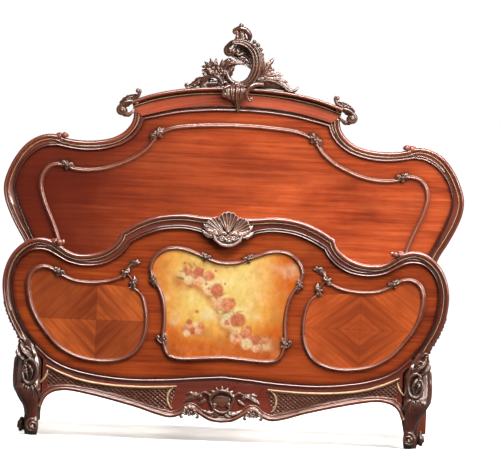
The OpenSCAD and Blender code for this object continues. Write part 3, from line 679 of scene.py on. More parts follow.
def frieze_section():
    """The flat frieze, a groove and the inner bead, which meets the bead of the frame's sides."""
    s = [("o", -13.6, FRIEZE + 8), ("o", -13.6, FRIEZE + 0.8), ("o", -13.0, FRIEZE), ("o", -11.5, FRIEZE),
         ("o", -4.0, FRIEZE), ("o", 6.0, FRIEZE), ("i", 24.0, FRIEZE), ("i", 19.5, FRIEZE),
         ("i", 18.2, FRIEZE), ("i", 17.4, FRIEZE + 1.0), ("i", 14.0, 13.2), ("i", 12.2, 12.4),
         ("i", 11.4, 11.0), ("i", 11.2, 7.6)]
    s += [("i", a, d) for a, d in arc(5.6, 5.4, 5.4, 12, 168, 11)]
    return s + [("i", 0.0, 9.0), ("i", 0.0, FRAME_T - 4), ("i", 1, FRAME_T - 1.2), ("i", 4, FRAME_T)]


def rail_curve(top, dip, n_top, n_dip):
    return np.vstack([even(curve(top), n_top), even(curve(dip), n_dip)[1:]])


fb_out = rail_curve(FB_OUT_TOP, FB_OUT_DIP, 90, 64)
fb_in = rail_curve(FB_IN_TOP, FB_IN_DIP, 90, 64)
fb_out_side, fb_in_side = even(curve(FB_OUT_LOBE), 110), even(curve(FB_IN_LOBE), 110)
fb_low = even(curve(FB_LOW), 120)
TOP_N = 80
hb_out = rail_curve(CORNICE_LOW, HB_OUT_DIP, TOP_N, 70)
hb_in = rail_curve(HB_IN_TOP, HB_IN_DIP, TOP_N, 70)
hb_out_side, hb_in_side = even(curve(HB_OUT_LOBE), 150), even(curve(HB_IN_LOBE), 150)


def pair(name, built, kind, left, right, **how):
    piece("right_" + name, built, kind, right, **how)
    piece("left_" + name, built.mirrored(), kind, left, **how)


# ------------------------------------------------------------------ footboard
def build_footboard_frame():
    b = Build()
    moulding(b, both(fb_out), both(fb_in), frame_section(), FOOT)
    piece("footboard_cap_rail", b, "moulding", ["footboard_top_rail"])
    b = Build()
    moulding(b, fb_out_side, fb_in_side, frame_section(), FOOT)
    pair("footboard_stile", b, "moulding", ["footboard_left_stile"], ["footboard_right_stile"])
    b = Build()
    bead_path(b, shifted(np.vstack([fb_out, fb_out_side[1:]]), -19.4), FOOT + 8.2, 2.0, 2.0)
    b.join(b.mirrored())
    piece("footboard_gilt_line", b, "gilt")
    sight = both(fb_low[::-1])
    b = Build()
    moulding(b, shifted(sight, -24), sight, lower_section(), FOOT)
    piece("footboard_lower_frame", b, "moulding", ["footboard_lower_moulding"])
    half = np.vstack([fb_in, fb_in_side[1:], fb_low[1:]])[:-1]
    b = Build()
    plate(b, np.vstack([half, flip_x(half)[::-1][:-1]]), FOOT + FIELD, FOOT + FIELD + FIELD_T)
    piece("footboard_field", b, "field", ["footboard_panel"])


def build_apron():
    edge = both(even(curve(APRON_EDGE), 160))
    under = shifted(both(fb_low[::-1]), -23)
    under = under[np.abs(under[:, 0]) < 646]
    b = Build()
    plate(b, np.vstack([under, edge[::-1]]), FOOT + APRON, FOOT + APRON + APRON_T)
    piece("apron", b, "apron", ["footboard_apron"])
    b = Build()
    bead_path(b, shifted(edge, 8), FOOT + APRON, 17, 12)
    bead_path(b, shifted(edge, 20), FOOT + APRON, 6, 5)
    edging = Build()
    bead_path(edging, shifted(even(curve(TRELLIS_LOW), 120), -4), FOOT + APRON, 7, 6)
    b.join(edging)
    b.join(edging.mirrored())
    piece("apron_lip", b, "bead", ["apron_edge_bead"])
    b = Build()
    line, foot = even(curve(FILLET), 230), even(curve(TRELLIS_LOW), 230)
    line = shifted(line, -6)
    rows, mesh = 46, 17.0
    g = np.zeros((len(line), rows + 1, 3))
    for j in range(rows + 1):
        q = line + (foot - line) * j / rows
        u, v = (q[:, 0] + 1.25 * q[:, 1]) / mesh, (q[:, 0] - 1.25 * q[:, 1]) / mesh
        ridge = np.maximum(1 - np.abs((u % 1) - 0.5) / 0.13, 1 - np.abs((v % 1) - 0.5) / 0.13)
        weave = np.clip(ridge, 0, 1) ** 0.6
        border = 1.0 if j in (0, 1, rows - 1, rows) else 0.0
        h = np.maximum(weave * 3.6, border * 4.2) + 0.4
        g[:, j, 0], g[:, j, 1], g[:, j, 2] = q[:, 0], h, q[:, 1]
    back = g[:, ::-1].copy()
    back[:, :, 1] = -1.0
    ring = np.concatenate([g, back[:, [0, -1]]], axis=1)
    b.grid(ring, wrap=True, caps=True)
    b.v = [[x, FOOT + APRON - h, z] for x, h, z in b.v]
    b.join(b.mirrored())
    piece("apron_lattice", b, "lattice", ["apron_trellis"], angle=50)
    b = Build()
    y = FOOT + APRON
    ends = [0.5, 0.9] + [1] * 7 + [0.9, 0.5]
    bead_path(b, even(curve(FILLET), 120), y, 9, 7, ends)
    bead_path(b, even(curve([[176, 188], [190, 172], [195, 150], [190, 128], [178, 112]]), 24), y, 8, 7,
              [0.4, 1, 1.1, 1, 0.5])
    bead_path(b, even(curve([[626, 236], [630, 220], [638, 204], [650, 190]]), 20), y, 8, 7, [0.4, 1, 1, 0.6])
    b.join(b.mirrored())
    piece("apron_gilding", b, "gilt", ["apron_gilt_fillets"])


def clasp(b, c, angle, size=1.0):
    """Leaves back to back over a bead, with two small curls and a boss."""
    h = 8.0

    def at(x, z, up):
        a = math.radians(angle)
        return [c[0] + size * (x * math.cos(a) - z * math.sin(a)),
                c[1] + size * (x * math.sin(a) + z * math.cos(a)), up * size + 2]

    for way in (-1, 1):
        leaf(b, [at(0, 0, h), at(way * 9, 1, h + 3), at(way * 18, 2, h), at(way * 26, 0, h - 4)],
             8.5 * size, thick=6 * size, lobes=3, rows=16, cols=9)
        c_scroll(b, [at(way * 2, -5, h), at(way * 6, 6, h + 2), at(way * 10, 10, h)], 2.6 * size,
                 curl_b=(4.2 * size, 1.1, -way))
        leaf(b, [at(0, way * 2, h), at(way * 2, way * 9, h + 2), at(way * 5, way * 15, h - 3)], 5.5 * size,
             thick=5 * size, lobes=2, rows=12, cols=7)
    ball(b, at(0, 1, h + 2), 4.6 * size)


def build_painting():
    half = even(curve(PAINTED), 150)
    ring = np.vstack([half, flip_x(half)[::-1][1:-1]])
    lo, hi = ring.min(0), ring.max(0)
    step = 3.2
    gx, gz = np.meshgrid(np.arange(lo[0] + step, hi[0], step), np.arange(lo[1] + step, hi[1], step))
    pts = np.column_stack([gx.ravel(), gz.ravel()])
    pts = np.vstack([ring, pts[inside(pts, ring, 2.0)]])
    edges = [(i, (i + 1) % len(ring)) for i in range(len(ring))]
    out = delaunay_2d_cdt([Vector(p) for p in pts], edges, [], 1, 1e-4)
    co = np.array([list(p) for p in out[0]])
    b = Build()
    b.add(np.column_stack([co[:, 0], np.full(len(co), FOOT + FIELD - 1.8), co[:, 1]]),
          [tuple(f) for f in out[2]])
    n = len(co)
    back = np.column_stack([ring[:, 0], np.full(len(ring), FOOT + FIELD), ring[:, 1]])
    sides = [(i, n + i, n + (i + 1) % len(ring), (i + 1) % len(ring)) for i in range(len(ring))]
    b.v.extend(back.tolist())
    b.f.extend(sides)
    b.uv.extend([[(0, 0)] * 4] * len(sides))
    obj = piece("painted_picture", b, "paint", ["painted_panel"])
    mesh = obj.data
    v = np.zeros(len(mesh.vertices) * 3)
    mesh.vertices.foreach_get("co", v)
    v = v.reshape(-1, 3) / MM
    rgb = painting(v[:, 0], v[:, 2])
    layer = mesh.color_attributes.new("paint", "FLOAT_COLOR", "POINT")
    layer.data.foreach_set("color", np.column_stack([rgb, np.ones(len(rgb))]).ravel())


def inside(pts, ring, margin):
    """Which points lie inside the ring, at least margin from it."""
    x, z = pts[:, 0], pts[:, 1]
    ok = np.zeros(len(pts), bool)
    a, c = ring, np.roll(ring, -1, axis=0)
    for (x0, z0), (x1, z1) in zip(a, c):
        cross = (z0 > z) != (z1 > z)
        if z0 != z1:
            ok ^= cross & (x < (x1 - x0) * (z - z0) / (z1 - z0) + x0)
    near = np.full(len(pts), 1e9)
    for p in ring:
        near = np.minimum(near, (x - p[0]) ** 2 + (z - p[1]) ** 2)
    return ok & (near > margin ** 2)


def painting(x, z):
    """Linear colours of a loose flower piece on warm clouds, for points in mm."""
    cells = 80
    table = np.random.default_rng(11).random((cells, cells))

    def patch(u, v):
        i, j = np.floor(u).astype(int), np.floor(v).astype(int)
        a, c = u - i, v - j
        a, c = a * a * (3 - 2 * a), c * c * (3 - 2 * c)

        def at(p, q):
            return table[p % cells, q % cells]

        return ((at(i, j) * (1 - a) + at(i + 1, j) * a) * (1 - c)
                + (at(i, j + 1) * (1 - a) + at(i + 1, j + 1) * a) * c)

    def cloud(scale, ox=0.0, oz=0.0):
        return sum(patch((x + ox) / scale * 2 ** k + 20, (z + oz) / scale * 2 ** k + 20) / 2 ** k
                   for k in range(4)) / 1.875

    def tint(col, to, a):
        a = np.clip(a, 0, 1)[:, None]
        return col * (1 - a) + np.array(linear(to)[:3]) * a

    n1, n2, n3 = cloud(150), cloud(60, 300, 90), cloud(26, 50, 700)
    col = np.tile(np.array(linear((255, 204, 92))[:3]), (len(x), 1))
    glow = np.exp(-((x + 40) / 170) ** 2 - ((z - 560) / 110) ** 2) + 0.6 * np.exp(
        -((x - 120) / 90) ** 2 - ((z - 600) / 70) ** 2)
    col = tint(col, (255, 230, 150), glow * (0.4 + 0.55 * n1))
    rim = (np.clip((x - 60) / 170, 0, 1) ** 1.3 + 0.8 * np.clip((-x - 130) / 130, 0, 1)
           + np.clip((450 - z) / 120, 0, 1) ** 1.2)
    col = tint(col, (238, 116, 22), rim * (0.7 + 0.8 * n2))
    col = tint(col, (170, 78, 26), np.clip(rim - 0.4, 0, 1) * n3 * 1.25)
    col = tint(col, (255, 242, 200), np.clip(n2 - 0.58, 0, 1) * 3.0 * np.exp(-((z - 520) / 120) ** 2))
    col = tint(col, (206, 120, 62), np.clip(0.42 - n2, 0, 1) * 2.2)

    def blob(cx, cz, rx, rz, turn, colour, amount, soft=1.6):
        nonlocal col
        a = math.radians(turn)
        u = ((x - cx) * math.cos(a) + (z - cz) * math.sin(a)) / rx
        v = (-(x - cx) * math.sin(a) + (z - cz) * math.cos(a)) / rz
        d = np.sqrt(u * u + v * v) + (n3 - 0.5) * 0.5
        col = tint(col, colour, amount * np.clip(soft * (1.15 - d), 0, 1))

    def rose(cx, cz, r, deep, pale):
        nonlocal col
        dx, dz = x - cx, z - cz
        d = np.sqrt(dx * dx + dz * dz) / r + (n3 - 0.5) * 0.35
        a = np.arctan2(dz, dx)
        body = np.clip((1 - d) * 3.2, 0, 1)
        ring = np.floor(np.clip(d, 0, 0.999) * 3)
        petal = np.abs(np.sin(1.5 * a + cx + 1.9 * ring)) * (0.6 + 0.4 * np.abs(np.sin(3 * np.pi * d)))
        light = np.clip(0.15 + 0.75 * petal + 0.3 * (dz - dx * 0.4) / r, 0, 1)
        col = tint(col, deep, body * 0.85)
        col = tint(col, pale, body * light * 0.72)

    # a spray of roses on a curved stem, from the upper left to the lower right
    def stem(t):
        return -150 + 300 * t, 590 - 232 * t + 46 * math.sin(2 * math.pi * t)

    spray = np.random.default_rng(5)
    for t in np.linspace(0, 1, 15):
        cx, cz = stem(t)
        blob(cx, cz, 34, 26, -35, (255, 238, 180), 0.5, 0.9)
        blob(cx - 16, cz - 34, 40, 15, -35, (206, 100, 40), 0.55, 0.9)
    for k in range(64):
        t = spray.random()
        cx, cz = stem(t)
        cx, cz = cx + spray.normal(0, 17), cz + spray.normal(0, 17)
        turn = -38 + spray.normal(0, 42)
        green = (132, 92, 38) if k % 3 else (160, 138, 78)
        blob(cx, cz, 14 + 8 * spray.random(), 4.2, turn, green, 0.5, 2)
    tones = (((214, 56, 30), (255, 190, 140)), ((236, 128, 78), (255, 232, 184)),
             ((180, 48, 28), (244, 142, 96)), ((244, 178, 100), (255, 248, 212)))
    for k, t in enumerate(np.linspace(0.03, 0.97, 17)):
        cx, cz = stem(t)
        out_by = (-1) ** k * (8 + 13 * spray.random())
        r = 13 + 19 * math.sin(math.pi * t) * (0.55 + 0.45 * spray.random())
        deep, pale_tone = tones[k * 7 % 4]
        rose(cx + out_by * 0.6, cz + out_by, r, deep, pale_tone)
    for k in range(20):
        t = spray.random()
        cx, cz = stem(t)
        rose(cx + spray.normal(0, 26), cz + spray.normal(0, 26), 5 + 4 * spray.random(), (190, 54, 30),
             (250, 168, 118))
    # and a small posy that answers it in the lower left
    for k in range(9):
        a = 2.4 * k
        rose(-118 + 9 * math.sqrt(k) * math.cos(a) * 1.5, 404 + 9 * math.sqrt(k) * math.sin(a),
             11 + 4 * spray.random(),
             *tones[k % 4])
    return np.clip(col * (0.9 + 0.2 * n3)[:, None], 0, 1)


def build_painted_panel():
    build_painting()
    b = Build()
    half = even(curve(PAINTED), 260)
    bead_path(b, half, FOOT + FIELD, 16, 13)
    b.join(b.mirrored())
    piece("picture_bead", b, "bead", ["painted_panel_bead"])
    b = Build()
    clasp(b, (78, 657), 22, 1.1)
    clasp(b, (263, 570), 75, 1.1)
    clasp(b, (216, 360), 86, 1.05)
    c_scroll(b, [[212, 352, 8], [222, 346, 8], [232, 350, 8], [240, 362, 8]], 3.2, curl_b=(6, 1.1, 1))
    whole = to_board(b, FOOT + FIELD)
    whole.join(whole.mirrored())
    piece("picture_clasps", whole, "carving", ["painted_panel_clasps"], remesh=1.0, smooth=2)


def build_kidneys():
    line = even(curve(KIDNEY), 300)
    closed = even(curve(KIDNEY[:-6]), 260)
    b = Build()
    plate(b, closed, FOOT + FIELD - 1.2, FOOT + FIELD)
    piece("right_quartered_veneer", b, "quarter_right", ["right_kidney_veneers"])
    piece("left_quartered_veneer", b.mirrored(), "quarter_left", ["left_kidney_veneers"])
    b = Build()
    bead_path(b, line, FOOT + FIELD, 15, 12, [0.55, 0.9, 1, 1, 1, 1, 1, 1, 1, 1, 1.1, 1.25, 1.35, 1.3, 1,
                                              0.95, 0.95, 0.9, 0.8, 0.6])
    bead_path(b, even(curve([[368, 590], [352, 584], [340, 572], [334, 560]]), 24), FOOT + FIELD, 9, 8,
              [1, 0.6])
    pair("kidney_bead", b, "bead", ["left_kidney_bead"], ["right_kidney_bead"])
    b = Build()
    clasp(b, (602, 585), 24, 1.15)
    clasp(b, (364, 592), 128, 1.0)
    clasp(b, (333, 556), 100, 1.0)
    leaf(b, [[352, 612, 6], [338, 624, 9], [324, 631, 9], [306, 630, 5]], 13, thick=9, lobes=3)
    whole = to_board(b, FOOT + FIELD)
    whole.join(whole.mirrored())
    piece("kidney_leaf_clasps", whole, "carving", ["kidney_clasps"], remesh=1.0, smooth=2)


def fan(b, c, angles, r0, r1, ribs, h, roll=10.0):
    """A fluted shell lobe spreading from c, (x, z), between two angles in degrees."""
    a0, a1 = map(math.radians, angles)
    rows, cols, thick = 18, ribs * 9 + 1, 5.0
    s, q = np.linspace(0, 1, rows), np.linspace(0, 1, cols)
    flute = np.abs(np.sin(np.pi * q * ribs))
    edge = r1 * (0.93 + 0.07 * flute) * (1 - 0.12 * np.abs(2 * q - 1) ** 2)
    g = np.zeros((rows, cols, 3))
    for i, t in enumerate(s):
        r = r0 + (edge - r0) * t
        g[i, :, 0] = c[0] + r * np.cos(a0 + (a1 - a0) * q)
        g[i, :, 1] = c[1] + r * np.sin(a0 + (a1 - a0) * q)
        g[i, :, 2] = h + roll * t ** 2.2 - 9.0 * t * (1 - t) - (6.0 * t + 1.0) * flute * 0.8 \
            - 5.0 * np.abs(2 * q - 1) ** 2
    back = g[:, ::-1].copy()
    back[:, :, 2] -= thick
    b.grid(np.concatenate([g, back], axis=1), wrap=True, caps=True)


def build_shell():
    b = Build()
    fan(b, (0, 742), (60, 120), 10, 84, 5, 17, roll=10)
    fan(b, (10, 742), (12, 66), 10, 80, 5, 12, roll=8)
    fan(b, (-10, 742), (114, 168), 10, 80, 5, 12, roll=8)
    for way in (-1, 1):
        leaf(b, [[way * 40, 742, 10], [way * 58, 748, 12], [way * 74, 760, 10], [way * 88, 778, 3]], 12,
             thick=8, lobes=4)
        leaf(b, [[way * 48, 736, 8], [way * 62, 736, 10], [way * 78, 742, 7], [way * 92, 756, 2]], 9,
             thick=8, lobes=3)
        c_scroll(b, [[way * 2, 703, 12], [way * 22, 707, 13], [way * 42, 722, 12], [way * 50, 742, 10]],
                 [6, 5, 4], curl_b=(7, 1.2, way))
        leaf(b, [[way * 6, 742, 14], [way * 16, 748, 17], [way * 28, 746, 15], [way * 36, 736, 12]], 8,
             thick=5, lobes=2, rows=14, cols=7)
    tube(b, [[-44, 726, 2], [-20, 720, 2], [0, 718, 2], [20, 720, 2], [44, 726, 2]], [10, 18, 20, 18, 10],
         [5])
    flower(b, (4, 728, 7), 15, 5, 6, 0.4)
    flower(b, (24, 730, 6), 10, 5, 5, 0.9)
    flower(b, (-20, 728, 6), 11, 5, 5, 0.1)
    piece("shell_carving", to_board(b, FOOT), "shell", ["footboard_shell"], remesh=1.1, smooth=2)


def build_cartouche():
    b = Build()
    ring = [[-34, 128, 6], [-42, 150, 8], [-28, 172, 10], [0, 182, 11], [28, 174, 10], [42, 152, 8],
            [34, 130, 6]]
    c_scroll(b, ring, [4, 6, 7, 6, 4], curl_a=(8, 1.1, 1), curl_b=(8, 1.1, -1))
    c_scroll(b, [[-30, 118, 6], [-10, 106, 8], [14, 106, 8], [32, 120, 6]], [3.5, 5, 3.5],
             curl_a=(7, 1, -1), curl_b=(7, 1, 1))
    for k in range(7):
        a = math.radians(20 + 23.3 * k)
        d = np.array([math.cos(a), math.sin(a) * 0.8])
        leaf(b, [[d[0] * 32, 150 + d[1] * 32, 9], [d[0] * 44, 152 + d[1] * 44, 13],
                 [d[0] * 56, 154 + d[1] * 56, 9]], 8, thick=7, lobes=2, rows=14, cols=7)
    for way in (-1, 1):
        c_scroll(b, [[way * 44, 166, 7], [way * 62, 176, 9], [way * 80, 168, 8]], [5, 4, 3],
                 curl_b=(8, 1.2, -way))
        leaf(b, [[way * 72, 160, 7], [way * 92, 164, 10], [way * 116, 152, 8], [way * 138, 138, 3]], 13,
             thick=8, lobes=4)
        leaf(b, [[way * 96, 158, 7], [way * 110, 170, 8], [way * 128, 168, 4]], 8, thick=6, lobes=2, rows=14)
        leaf(b, [[way * 20, 108, 6], [way * 38, 100, 9], [way * 58, 104, 8], [way * 74, 116, 3]], 11,
             thick=7, lobes=3)
        leaf(b, [[way * 8, 104, 6], [way * 20, 92, 8], [way * 34, 86, 4]], 8, thick=6, lobes=3, rows=16)
        leaf(b, [[way * 58, 150, 7], [way * 70, 140, 9], [way * 84, 134, 5]], 8, thick=6, lobes=2, rows=14)
    tube(b, [[-26, 146, 1], [0, 144, 2], [26, 146, 1]], [16, 22, 16], [4])
    piece("apron_carving", to_board(b, FOOT + APRON), "carving", ["apron_cartouche"], remesh=1.0, smooth=2)
    b = Build()
    for k in range(5):
        a = math.radians(25 + 32 * k)
        d = np.array([math.cos(a), math.sin(a)])
        leaf(b, [[114 + d[0] * 5, 98 + d[1] * 5, 9], [114 + d[0] * 20, 98 + d[1] * 18, 14],
                 [114 + d[0] * 34, 98 + d[1] * 30, 9]], 10, thick=8, lobes=2, rows=16, cols=9)
    for way in (-1, 1):
        c_scroll(b, [[114 + way * 10, 92, 10], [114 + way * 24, 98, 11], [114 + way * 32, 90, 9]], [4, 3.4],
                 curl_b=(6, 1.1, -way))
    flower(b, (114, 98, 12), 11, 5, 5)
    b = to_board(b, FOOT + APRON)
    b.join(b.mirrored())
    piece("apron_shells", b, "carving", ["apron_rocailles"], remesh=1.0, smooth=2)


def build_footboard_knobs():
    b = Build()
    for x, z, h, r in ((602, 693, 4, 10.5), (600, 692, -14, 9.0)):
        ball(b, (x, z, h), r)
    tube(b, [[610, 689, -8], [618, 693, -8], [628, 697, -8]], [9.5, 13.5, 9.5], [8, 13, 8])
    tube(b, [[590, 692, 0], [590, 694, -20], [590, 694, -52]], [7, 8, 7])
    b = to_board(b, FOOT)
    b.join(b.mirrored())
    piece("footboard_shoulder_knobs", b, "knob", ["footboard_shoulder_scrolls"], remesh=1.2, smooth=3)


# ------------------------------------------------------------------ legs
def loft(b, rings, power):
    """A solid through (z, cx, cy, half width, half depth) rings of a rounded square section."""
    a = np.linspace(0, 2 * np.pi, LOFT_SIDES, endpoint=False)
    rings = curve(rings, 6.0)
    g = np.zeros((len(rings), LOFT_SIDES, 3))
    c, s = np.cos(a), np.sin(a)
    r = (np.abs(c) ** power + np.abs(s) ** power) ** (-1 / power)
    for i, (z, cx, cy, wx, wy) in enumerate(rings):
        g[i, :, 0], g[i, :, 1], g[i, :, 2] = cx + wx * r * c, FOOT + cy + wy * r * s, z
    b.grid(g, wrap=True, caps=True)


LEG_SIDE, LEG_FRONT, LEG_BACK = 752.5, -29.5, 119.5
NOTCH_Z, NOTCH_Y = 160.0, 68.5            # the leg's back is cut away above NOTCH_Z, clear of the mattress


def trim_leg(b, notched):
    """Holds the points of a leg, or of its carving, within the space of the CAD leg."""
    for p in b.v:
        back = NOTCH_Y if notched and p[2] > NOTCH_Z else LEG_BACK
        p[:] = [min(p[0], LEG_SIDE), min(max(p[1], FOOT + LEG_FRONT), FOOT + back), max(p[2], 0.0)]


def build_legs():
    b = Build()
    loft(b, [[362, 712, 50, 10, 24], [344, 706, 51, 24, 38], [300, 700, 51, 38, 45], [262, 696, 49, 50, 47],
             [225, 697, 48, 52, 50], [185, 697, 45, 52, 55], [160, 694, 43, 49, 60], [130, 687, 44, 42, 58],
             [100, 677, 48, 32, 44], [75, 674, 52, 24, 34], [45, 674, 54, 18, 30], [22, 674, 54, 18, 32],
             [0, 674, 54, 14, 28]], power=3.2)
    loft(b, [[186, 700, -2, 34, 12], [162, 696, -8, 40, 17], [136, 689, -7, 33, 16], [100, 680, 5, 24, 14],
             [65, 675, 12, 19, 13], [30, 673, 6, 20, 17], [0, 673, 8, 16, 13]], power=2.2)
    loft(b, [[262, 736, 50, 10, 34], [225, 740, 50, 11, 38], [185, 739, 52, 12, 40], [160, 732, 54, 14, 38],
             [110, 702, 66, 14, 26], [74, 692, 76, 14, 20], [40, 694, 88, 15, 20], [0, 690, 90, 12, 16]],
         power=2.2)
    trim_leg(b, True)
    pair("cabriole_leg", b, "leg", ["footboard_left_leg"], ["footboard_right_leg"], remesh=1.5, smooth=2)
    front, side = Build(), Build()
    tube(front, spiral((674, 32), 95, 24, 5, 1.6, -1, 15, 25), [7.5, 6.5, 4.5], [8, 7, 6])
    ball(front, (674, 32, 20), 7)
    tube(front, [[674, 32, -16], [674, 32, 4], [674, 32, 14]], [21, 21, 17], k=26)
    ring = [[708, 262, 16], [692, 270, 18], [674, 258, 18], [665, 234, 18], [667, 206, 20], [680, 187, 21],
            [698, 184, 21], [712, 198, 19], [717, 222, 17], [712, 244, 16]]
    c_scroll(front, ring, [4, 6.5, 7.5, 8, 8, 7.5, 7, 6, 4.5], 1.0, curl_a=(5, 0.8, -1), curl_b=(5, 0.8, 1))
    leaf(front, [[700, 254, 14], [690, 240, 22], [682, 222, 22], [686, 200, 16]], 13, thick=12, lobes=4,
         cup=0.7)
    leaf(front, [[706, 240, 13], [704, 222, 18], [696, 202, 15]], 8, thick=9, lobes=3, rows=16)
    leaf(front, [[684, 268, 16], [700, 286, 25], [716, 300, 24], [724, 322, 18], [722, 346, 10]], 15,
         thick=14, lobes=4, cup=0.7)
    leaf(front, [[708, 266, 14], [724, 276, 19], [736, 292, 16], [737, 312, 8]], 11, thick=12, lobes=3,
         cup=0.6)
    leaf(front, [[680, 272, 14], [676, 288, 18], [684, 306, 11]], 9, thick=12, lobes=2, rows=16)
    c_scroll(front, [[692, 302, 15], [704, 314, 18], [716, 310, 16]], [5, 4.5], curl_b=(7, 1.1, -1))
    c_scroll(front, [[712, 334, 14], [724, 344, 15], [732, 336, 12]], [4.5, 4], curl_b=(6, 1.0, -1))
    for x0, x1, low_end, w in ((-22, -30, 128, 11), (-8, -12, 108, 13), (10, 8, 112, 13), (26, 28, 138, 10)):
        leaf(front, [[690 + x0 * 0.4, 190, 20], [690 + x0, 170, 27], [688 + x1, (176 + low_end) / 2, 24],
                     [684 + x1 * 0.8, low_end, 10]], w, thick=10, lobes=4, cup=0.5, rows=20, cols=9)
    carved = to_board(front, FOOT)
    ring = [[68, 260, 16], [52, 272, 18], [34, 262, 19], [24, 236, 20], [26, 206, 21], [40, 186, 21],
            [60, 188, 20], [70, 206, 17]]
    c_scroll(side, ring, [5, 7, 8, 8, 8, 7.5, 7, 5], 1.0, curl_a=(5, 0.8, -1), curl_b=(5, 0.8, 1))
    leaf(side, [[60, 254, 14], [50, 242, 24], [42, 222, 26], [48, 200, 20]], 13, thick=10, lobes=4, cup=0.7)
    leaf(side, [[46, 272, 17], [52, 292, 20], [50, 316, 16], [44, 342, 8]], 15, thick=12, lobes=4, cup=0.6)
    leaf(side, [[62, 274, 14], [74, 290, 16], [76, 308, 10]], 10, thick=10, lobes=3, rows=16)
    leaf(side, [[54, 188, 21], [58, 164, 21], [66, 138, 7], [76, 108, -13]], 19, thick=10, lobes=5, cup=0.5)
    tube(side, spiral((96, 32), 85, 23, 5, 1.6, 1, -8, 4), [7.5, 6.5, 4.5], [8, 7, 6])
    ball(side, (96, 32, 0), 7)
    tube(side, [[96, 32, -44], [96, 32, -20], [96, 32, -6]], [20, 20, 17], k=26)
    side.v = [[722 + h, FOOT + x, z] for x, z, h in side.v]
    carved.join(side)
    trim_leg(carved, False)
    pair("knee_and_toe_carving", carved, "carving", ["left_knee_carving"],
         ["right_knee_carving", "toe_volutes"], remesh=1.2, smooth=1)
    # husks that climb the outer side of the stile from the knee
    edge = fb_out_side[::-1]
    b = Build()
    for k in range(5):
        z = 346.0 + 27 * k
        at = [np.interp(z + d, edge[:, 1], edge[:, 0]) for d in (0, 14, 28)]
        size = 12 - 1.4 * k
        for y in (14, 30):
            leaf(b, [[y, z + 28, at[2] - 4], [y, z + 14, at[1] + 3], [y, z, at[0] - 1]], size, thick=7,
                 lobes=3, rows=16, cols=9)
        ball(b, (22, z + 2, at[0] + 1), size * 0.5)
    b.v = [[h, FOOT + x, z] for x, z, h in b.v]
    pair("stile_husks", b, "carving", [], [], remesh=1.2, smooth=1)


# ------------------------------------------------------------------ headboard
def build_headboard_frame():
    b = Build()
    moulding(b, both(hb_out[:TOP_N]), both(hb_in[:TOP_N]), frieze_section(), HEAD)
    dip = Build()
    moulding(dip, hb_out[TOP_N - 1:], hb_in[TOP_N - 1:], frame_section(), HEAD)
    b.join(dip)
    b.join(dip.mirrored())
    piece("headboard_cap_rail", b, "moulding", ["headboard_top_rail"])
    b = Build()
    face = FRIEZE - 0.4
    band = [("o", -13, FRIEZE + 1.5), ("o", -13, FRIEZE), ("o", -12.6, face), ("o", -11, face),
            ("o", 4, face), ("i", 24, face), ("i", 20, face), ("i", 19, face), ("i", 18.6, FRIEZE),
            ("i", 18.6, FRIEZE + 1.5)]
    moulding(b, both(hb_out[:TOP_N]), both(hb_in[:TOP_N]), band, HEAD)
    piece("headboard_frieze", b, "frieze")
    b = Build()
    moulding(b, hb_out_side, hb_in_side, frame_section(), HEAD)
    widest = high("headboard_right_stile")[0]
    b.v = [[min(x, widest), y, z] for x, y, z in b.v]
    pair("headboard_stile", b, "moulding", ["headboard_left_stile"], ["headboard_right_stile"])
    b = Build()
    bead_path(b, shifted(np.vstack([hb_out[TOP_N:], hb_out_side[1:]]), -19.4), HEAD + 8.2, 2.0, 2.0)
    bead_path(b, shifted(even(curve(CORNICE_TOP), 120), -22.5), HEAD + 1.0, 3.0, 2.4)
    b.join(b.mirrored())
    piece("headboard_gilt_line", b, "gilt")
    b = Build()
    top, under = even(curve(CORNICE_TOP), 120), even(curve(CORNICE_LOW), 120)
    moulding(b, both(top), both(under), cornice_section(), HEAD)
    piece("cornice", b, "moulding", ["headboard_cornice"])
    half = np.vstack([hb_in, hb_in_side[1:], [[680, 330]]])
    b = Build()
    plate(b, np.vstack([half, flip_x(half)[::-1][:-1]]), HEAD + FIELD, HEAD + FIELD + FIELD_T)
    piece("headboard_field", b, "head_field", ["headboard_panel"])
    b = Build()
    bead_path(b, even(curve(HEAD_BEAD), 420), HEAD + FIELD, 17, 13)
    b.join(b.mirrored())
    piece("headboard_inner_bead", b, "bead", ["headboard_bead"])
    b = Build()
    clasp(b, (288, 1064), -42, 1.35)
    clasp(b, (617, 937), 14, 1.25)
    b = to_board(b, HEAD + FIELD)
    b.join(b.mirrored())
    piece("headboard_bead_clasps", b, "carving", ["headboard_clasps"], remesh=1.0, smooth=2)
    b = Build()
    for x, z, h, r in ((628, 1049, 4, 10.5), (628, 1048, -14, 9.0)):
        ball(b, (x, z, h), r)
    tube(b, [[638, 1041, -8], [646, 1045, -8], [656, 1047, -8]], [9.5, 13.5, 9.5], [8, 13, 8])
    tube(b, [[621, 1047, 0], [621, 1047, -20], [621, 1047, -50]], [7, 8, 7])
    b = to_board(b, HEAD)
    b.join(b.mirrored())
    piece("headboard_shoulder_knobs", b, "knob", ["headboard_shoulder_scrolls"], remesh=1.2, smooth=3)


